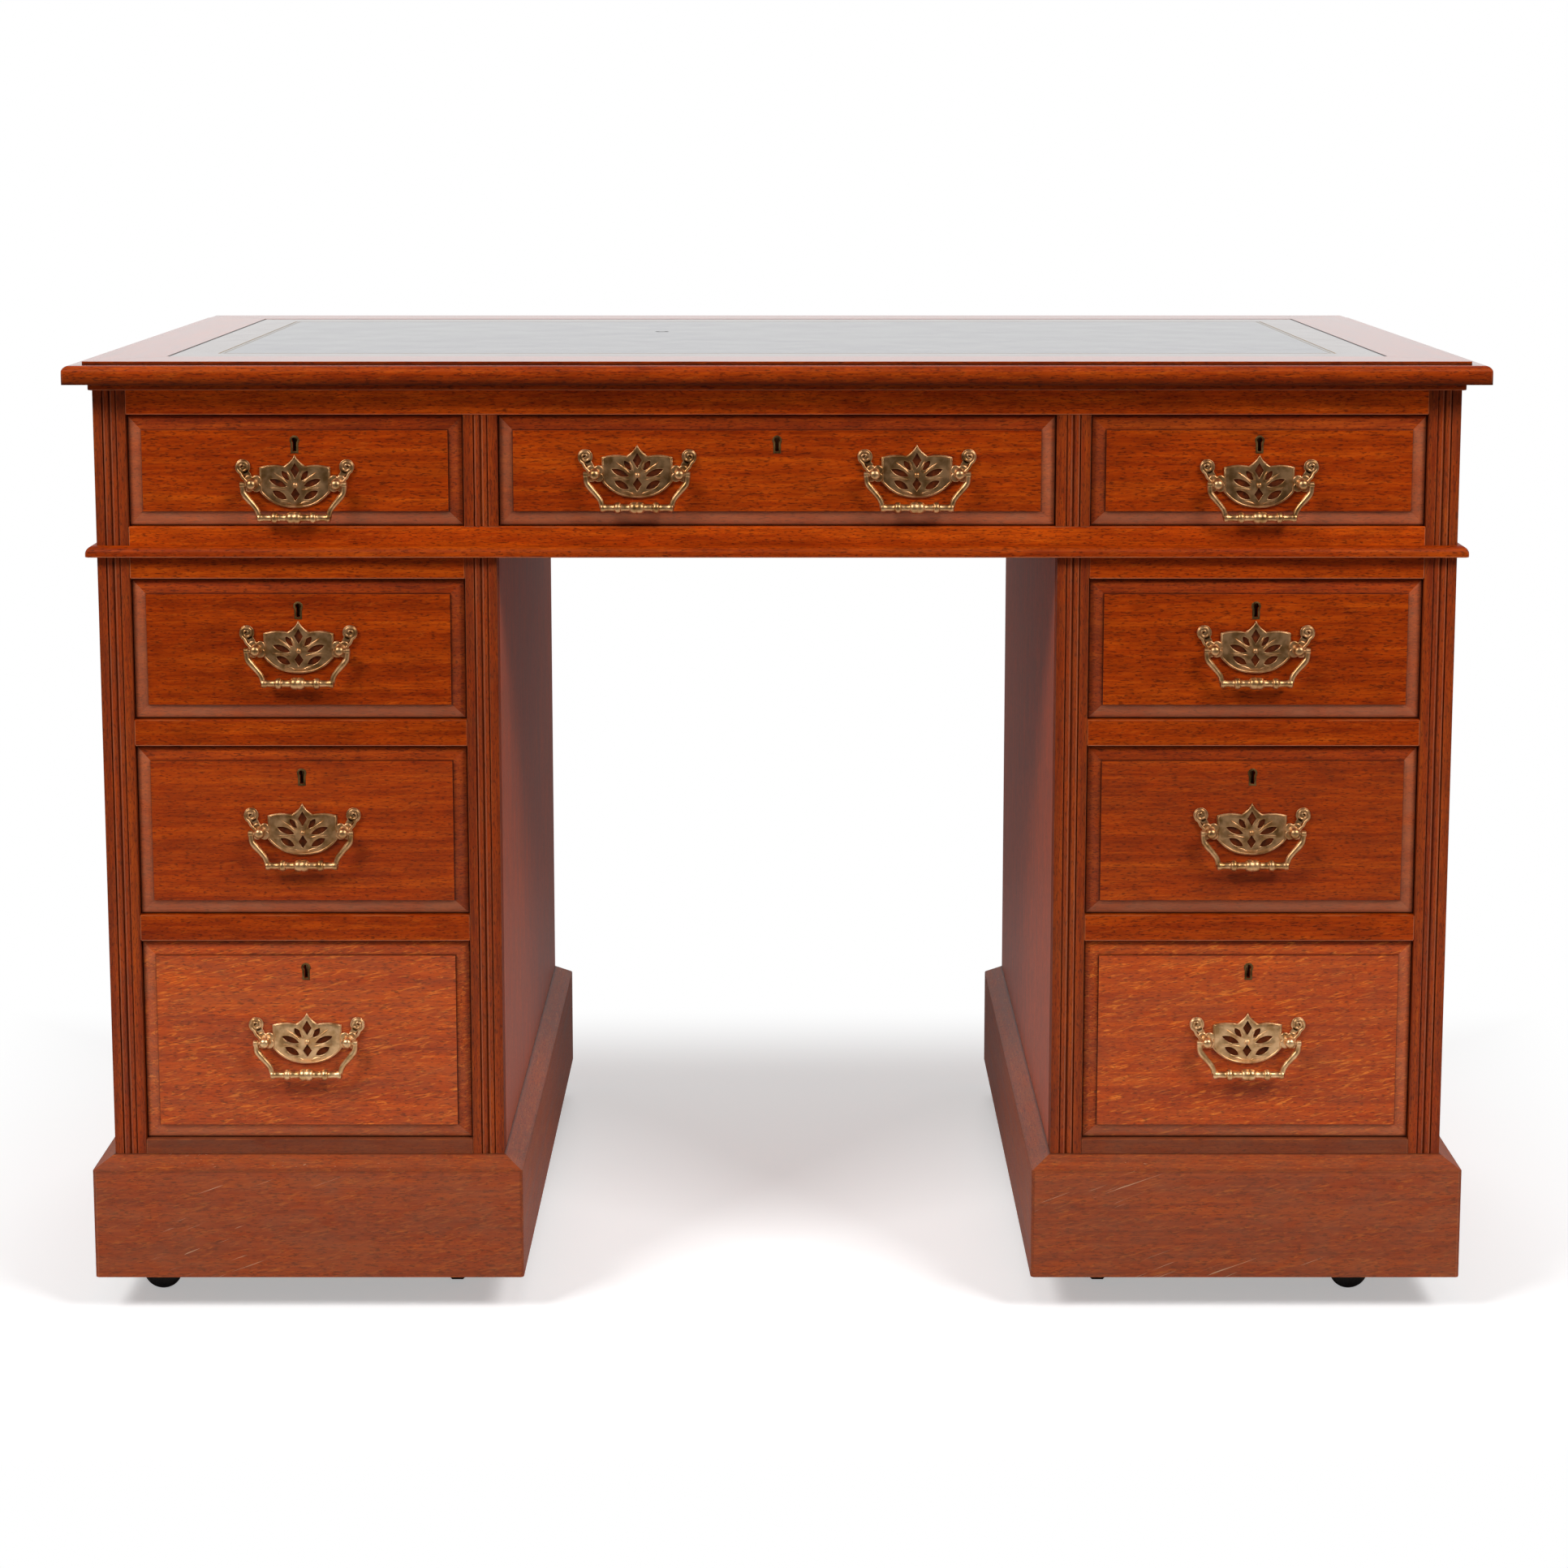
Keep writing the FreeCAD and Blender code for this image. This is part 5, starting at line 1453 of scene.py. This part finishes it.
@dataclass
class Drawer:
    """One drawer: its fielded front, its linings and its brass."""

    shop: Workshop
    founder: BrassFounder
    place: str
    look: BoardLook
    lining: Material
    brass: Material
    tarnished: Material
    plate_shade_and_polish: Material
    key_drop: float
    front_gap: float = 0.8 * MM
    doubles: float = 0.005 * MM
    flat_angle: float = 1.0
    touch: float = 0.05 * MM
    bevel_width: float = 11.5 * MM
    field_step: float = 1.7 * MM
    bevel_drop: float = 3.3 * MM
    # Painted shade with some old polish: dark in the gap round the front and at the field's step, and lighter shade
    # over the bevel on the kneehole side, away from its lamp.
    soil_and_shade_width: float = 1.5 * MM
    field_soil_and_shade: Spot = (0.75, 0.95)
    bevel_painted_shade: float = 0.2
    pivot_reach: float = 10.5 * MM
    knuckle_radius: float = 2.6 * MM
    lock_size: Point = (44.0 * MM, 8.0 * MM, 34.0 * MM)
    lock_ease: float = 0.4 * MM

    def __post_init__(self) -> None:
        """Read where the front lies from the frame."""
        self.body = f"{self.place}_drawer"
        self.low, self.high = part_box(f"{self.body}_front")

    def build(self) -> None:
        """Make the front and the brass, and dress the linings."""
        self.build_front()
        self.build_brass()
        redress(f"{self.body}_box", self.lining)

    def build_front(self) -> None:
        """Copy the front, ease its arrises and paint shade, with some old polish, in its corners and over its shaded
        bevel.
        """
        body, low, high = self.body, self.low, self.high
        node = f"{body}_front"
        front = bpy.data.objects.new(f"{self.place}_drawer_face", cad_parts[node].data.copy())
        bpy.context.scene.collection.objects.link(front)
        pick(front)
        bpy.ops.object.mode_set(mode="EDIT")
        bpy.ops.mesh.select_all(action="SELECT")
        bpy.ops.mesh.remove_doubles(threshold=self.doubles)
        bpy.ops.mesh.dissolve_limited(angle_limit=math.radians(self.flat_angle))
        for inset in (self.soil_and_shade_width, self.bevel_width - self.soil_and_shade_width):
            for corner, way in ((low, 1.0), (high, -1.0)):
                for normal in ((1.0, 0.0, 0.0), (0.0, 0.0, 1.0)):
                    bpy.ops.mesh.select_all(action="SELECT")
                    bpy.ops.mesh.bisect(plane_co=corner + Vector(normal) * way * inset, plane_no=normal)
        bpy.ops.object.mode_set(mode="OBJECT")
        soil_and_shade = front.data.attributes.new("board_dark_polish_and_shade", "FLOAT", "POINT")
        soil_and_shade.data.foreach_set("value", [self.soil_and_shade(vertex.co) for vertex in front.data.vertices])
        front = self.shop.finish(front, Grain.ACROSS, self.look, False)
        self.shop.glue(f"{self.place}_drawer_face", [front], body, node)

    def soil_and_shade(self, point: Vector) -> float:
        """How dark a corner of the front is painted, from 0 to 1: painted shade in the gap, at the field's step and
        over the bevel away from its lamp, with some old polish.
        """
        low, high = self.low, self.high
        inward = min(point.x - low.x, high.x - point.x, point.z - low.z, high.z - point.z)
        kneeward = high.x - point.x if low.x + high.x < 0 else point.x - low.x
        depth, touch = point.y - low.y, self.touch
        shaded = kneeward < self.bevel_width + touch and depth > self.field_step - touch
        if inward < touch and depth < self.field_step + self.bevel_drop + touch:
            return 1.0
        if abs(depth - self.field_step) < touch and abs(inward - self.bevel_width) < touch:
            return self.field_soil_and_shade[shaded]
        return self.bevel_painted_shade if shaded else 0.0

    def build_brass(self) -> None:
        """Fit the pulls, the keyhole's thread, the lock and the bails."""
        founder, body, low, high = self.founder, self.body, self.low, self.high
        fittings = []
        bails = sorted(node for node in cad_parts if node.startswith(f"{self.place}_bail"))
        for node in bails:
            bail_low, bail_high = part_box(node)
            pivot = Vector(((bail_low.x + bail_high.x) / 2, low.y, bail_high.z - self.knuckle_radius))
            # The dark sheet behind each plate is painted shade, with some old polish.
            fittings += [founder.cast(founder.pull, pivot, self.brass), founder.cast(founder.film, pivot, self.plate_shade_and_polish)]
            bail = founder.cast(founder.bail, pivot - Vector((0, self.pivot_reach, 0)), self.brass)
            bail.name = f"{node}_casting"
            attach(bail, node)
            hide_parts(node)
        centre = (low.x + high.x) / 2
        eye = Vector((centre, low.y, high.z + self.front_gap - self.key_drop))
        fittings += [founder.cast(founder.thread, eye, self.tarnished), self.lock(centre)]
        brass = join(f"{self.place}_fittings", fittings)
        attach(brass, body)
        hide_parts(f"{self.place}_brassware")
        LOG.info("%s: %d faces of brass, %d bails", self.place, len(brass.data.polygons), len(bails))

    def lock(self, centre: float) -> Piece:
        """The lock's case in the back of the front, at the front's middle."""
        wide, deep, tall = self.lock_size
        middle = (centre, self.high.y - deep / 2, self.high.z - tall / 2)
        bpy.ops.object.select_all(action="DESELECT")
        bpy.ops.mesh.primitive_cube_add(size=1.0, location=middle, scale=(wide, deep, tall))
        case = bpy.context.object
        bpy.ops.object.transform_apply(location=True, rotation=True, scale=True)
        bpy.ops.object.mode_set(mode="EDIT")
        bpy.ops.mesh.select_all(action="SELECT")
        bpy.ops.mesh.bevel(offset=self.lock_ease, segments=1, affect="EDGES")
        bpy.ops.object.mode_set(mode="OBJECT")
        dress(case, self.brass)
        return case


@dataclass
class Studio:
    """Floor, soft lamps, white surround and the camera at the photograph's place."""

    lens_mm: float = 74.44
    sensor_mm: float = 36.0
    camera_place: Point = (0.0055, -2.8516, 0.9643)
    camera_tilt: float = 8.32
    shift: float = -0.12
    lamp_target: Point = (0.0, 0.0, 0.45)
    lamp_power: float = 80.0
    back_power_share: float = 0.3
    lamp_size: float = 1.2
    world_strength: float = 0.18
    dark_room: float = 0.05
    room_turn: Spot = (-0.5, 0.4)
    floor_size: float = 24.0
    floor_drop: float = 0.0005
    floor_lift: float = 0.4
    paper: float = 0.82
    paper_front: Spot = (-2.0, -0.9)
    paper_back: Spot = (0.3, 1.4)
    paper_ends: Spot = (0.03, 0.15)
    shadow_fade: Spot = (0.02, 0.3)

    def build(self) -> None:
        """Set the camera, the lamps, the floor and the surround."""
        self.add_camera()
        self.add_lamps()
        self.add_floor()
        self.add_surround()
        bpy.context.scene.view_settings.view_transform = "Standard"

    def add_camera(self) -> None:
        """Place the camera low in front of the desk, tilted down a little."""
        data = bpy.data.cameras.new("photo_camera")
        data.lens = self.lens_mm
        data.sensor_width = self.sensor_mm
        data.sensor_fit = "HORIZONTAL"
        data.shift_y = self.shift
        camera = bpy.data.objects.new("photo_camera", data)
        camera.location = self.camera_place
        camera.rotation_euler = (math.radians(90 - self.camera_tilt), 0, 0)
        bpy.context.scene.collection.objects.link(camera)
        bpy.context.scene.camera = camera

    def add_lamps(self) -> None:
        """Hang a soft box on each side in front, and one over the back that shows in no polish."""
        for name, place, share in (("soft_left", (-2.2, -2.2, 2.8), 1.0), ("soft_right", (2.2, -2.2, 2.8), 1.0),
                                   ("soft_back", (0.0, 2.6, 2.4), self.back_power_share)):
            data = bpy.data.lights.new(name, "AREA")
            data.energy = self.lamp_power * share
            data.size = self.lamp_size
            lamp = bpy.data.objects.new(name, data)
            lamp.location = place
            lamp.visible_glossy = place[1] < 0
            lamp.rotation_euler = (Vector(self.lamp_target) - Vector(place)).to_track_quat("-Z", "Y").to_euler()
            bpy.context.scene.collection.objects.link(lamp)

    def add_floor(self) -> None:
        """Lay a white paper floor that keeps the desk's shadow, and ends in front where the room is dark."""
        bpy.ops.object.select_all(action="DESELECT")
        bpy.ops.mesh.primitive_plane_add(size=self.floor_size, location=(0, 0, -self.floor_drop))
        floor = bpy.context.object
        floor.name = "studio_floor"
        material, sheet = new_material("white_studio_paper")
        camera_ray = sheet.add("LightPath").outputs["Is Camera Ray"]
        x, y, _ = sheet.split(sheet.place())
        far = sheet.math("MAXIMUM", *(sheet.math("SUBTRACT", sheet.math("ABSOLUTE", axis), half)
                                      for axis, half in zip((x, y), CAD_BOX[1])))
        seen = sheet.math("MULTIPLY", sheet.remap(far, *self.shadow_fade), camera_ray)
        shade = sheet.math("MINIMUM", sheet.remap(y, *self.paper_front, self.paper_ends[0], self.paper),
                           sheet.remap(y, *self.paper_back, self.paper, self.paper_ends[1]))
        paper = sheet.add("BsdfDiffuse", {}, {"Color": shade}).outputs[0]
        lift = sheet.math("MULTIPLY", camera_ray, self.floor_lift)
        glow = sheet.add("Emission", {"Color": WHITE}, {"Strength": lift}).outputs[0]
        near = sheet.add("AddShader", {}, {0: paper, 1: glow}).outputs[0]
        white = sheet.add("Emission", {"Color": WHITE, "Strength": 1.0}).outputs[0]
        both = sheet.add("MixShader", {}, {0: seen, 1: near, 2: white}).outputs[0]
        sheet.add("OutputMaterial", {}, {"Surface": both})
        dress(floor, material)

    def add_surround(self) -> None:
        """Make the world white to the camera and in reflections, and a soft fill for the rest."""
        world = bpy.data.worlds.new("studio_surround")
        bpy.context.scene.world = world
        world.use_nodes = True
        sheet = Sheet(world.node_tree)
        rays = sheet.add("LightPath").outputs
        way_y = sheet.split(sheet.add("TexCoord").outputs["Generated"])[1]
        back = sheet.remap(way_y, *self.room_turn, self.dark_room, 1.0)
        seen = sheet.math("MAXIMUM", rays["Is Camera Ray"], rays["Is Transmission Ray"])
        shown = sheet.math("MAXIMUM", seen, sheet.math("MULTIPLY", back, rays["Is Glossy Ray"]))
        fill = sheet.math("MULTIPLY", rays["Is Diffuse Ray"], self.world_strength)
        light = sheet.add("Background", {"Color": WHITE}, {"Strength": sheet.math("MAXIMUM", shown, fill)})
        sheet.add("OutputWorld", {}, {"Surface": light.outputs[0]})


def main() -> None:
    """Build the studio and dress the desk, piece by piece."""
    logging.basicConfig(level=logging.INFO, format="%(message)s")
    Studio().build()
    stain = ("#812701", "#963301", "#a74103", "#350f02", "#bf6119", "#a8582c")
    polishes = {Polish.THIN: OakFinish("french_polished_oak", *stain, 0.45, 0.15, 0.22).build(),
                Polish.SATIN: OakFinish("satin_polished_oak", *stain, 0.45, 0.6, 0.34, 0.3).build(),
                Polish.FULL: OakFinish("full_polished_oak", *stain, 0.4, 0.8, 0.06, 0.15, pore_depth=0.08).build()}
    raw = ("#a6774c", "#b88a5c", "#c79c6f", "#6e4829", "#d3b08a", "#c9a47c")
    bare = OakFinish("bare_oak_carcase", *raw, 0.6, 0.0, 0.3, streak=0.1).build()
    lining = OakFinish("drawer_lining_oak", *raw, 0.6, 0.0, 0.3, streak=0.1).build(False)
    brass = BrassFinish("aged_cast_brass", "#d8a877", "#a87a4a", 0.29).build()
    # Painted reflection: a paler copy of the brass for the lower pulls, which face the bright floor.
    rubbed = BrassFinish("rubbed_cast_brass", "#f7ca96", "#c69662", 0.27).build()
    plate_shade_and_polish = ShadeAndPolishFilm().build()
    tarnished = BrassFinish("tarnished_thread_brass", "#86683f", "#553f24", 0.42).build()
    iron = IronFinish().build()
    shop = Workshop(polishes, bare)
    sizes = CaseSizes()
    DeskTop(shop).build(LeatherFinish())
    Frieze(shop, sizes).build()
    for hand in Hand:
        Pedestal(shop, sizes, hand=hand).build()
    founder = BrassFounder()
    founder.open_foundry()
    frieze_key_drop, pedestal_key_drop = 20.2 * MM, 22.0 * MM
    drawers = {"frieze_left": BoardLook(1.11), "frieze_centre": BoardLook(1.0), "frieze_right": BoardLook(1.08),
               "left_upper": BoardLook(0.95), "left_middle": BoardLook(0.98, 0.02),
               "left_lower": BoardLook(1.29, 0.105, 0.9),
               "right_upper": BoardLook(0.95), "right_middle": BoardLook(0.98, 0.02),
               "right_lower": BoardLook(1.3, 0.085, 0.95)}
    for place, look in drawers.items():
        drop = frieze_key_drop if place.startswith("frieze") else pedestal_key_drop
        # The lower pulls take the paler brass: painted reflection of the floor.
        metal = rubbed if place.endswith("lower") else brass
        Drawer(shop, founder, place, look, lining, metal, tarnished, plate_shade_and_polish, drop).build()
    founder.close_foundry()
    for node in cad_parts:
        if "_castor_" in node:
            redress(node, iron)


if __name__ == "__main__":
    main()
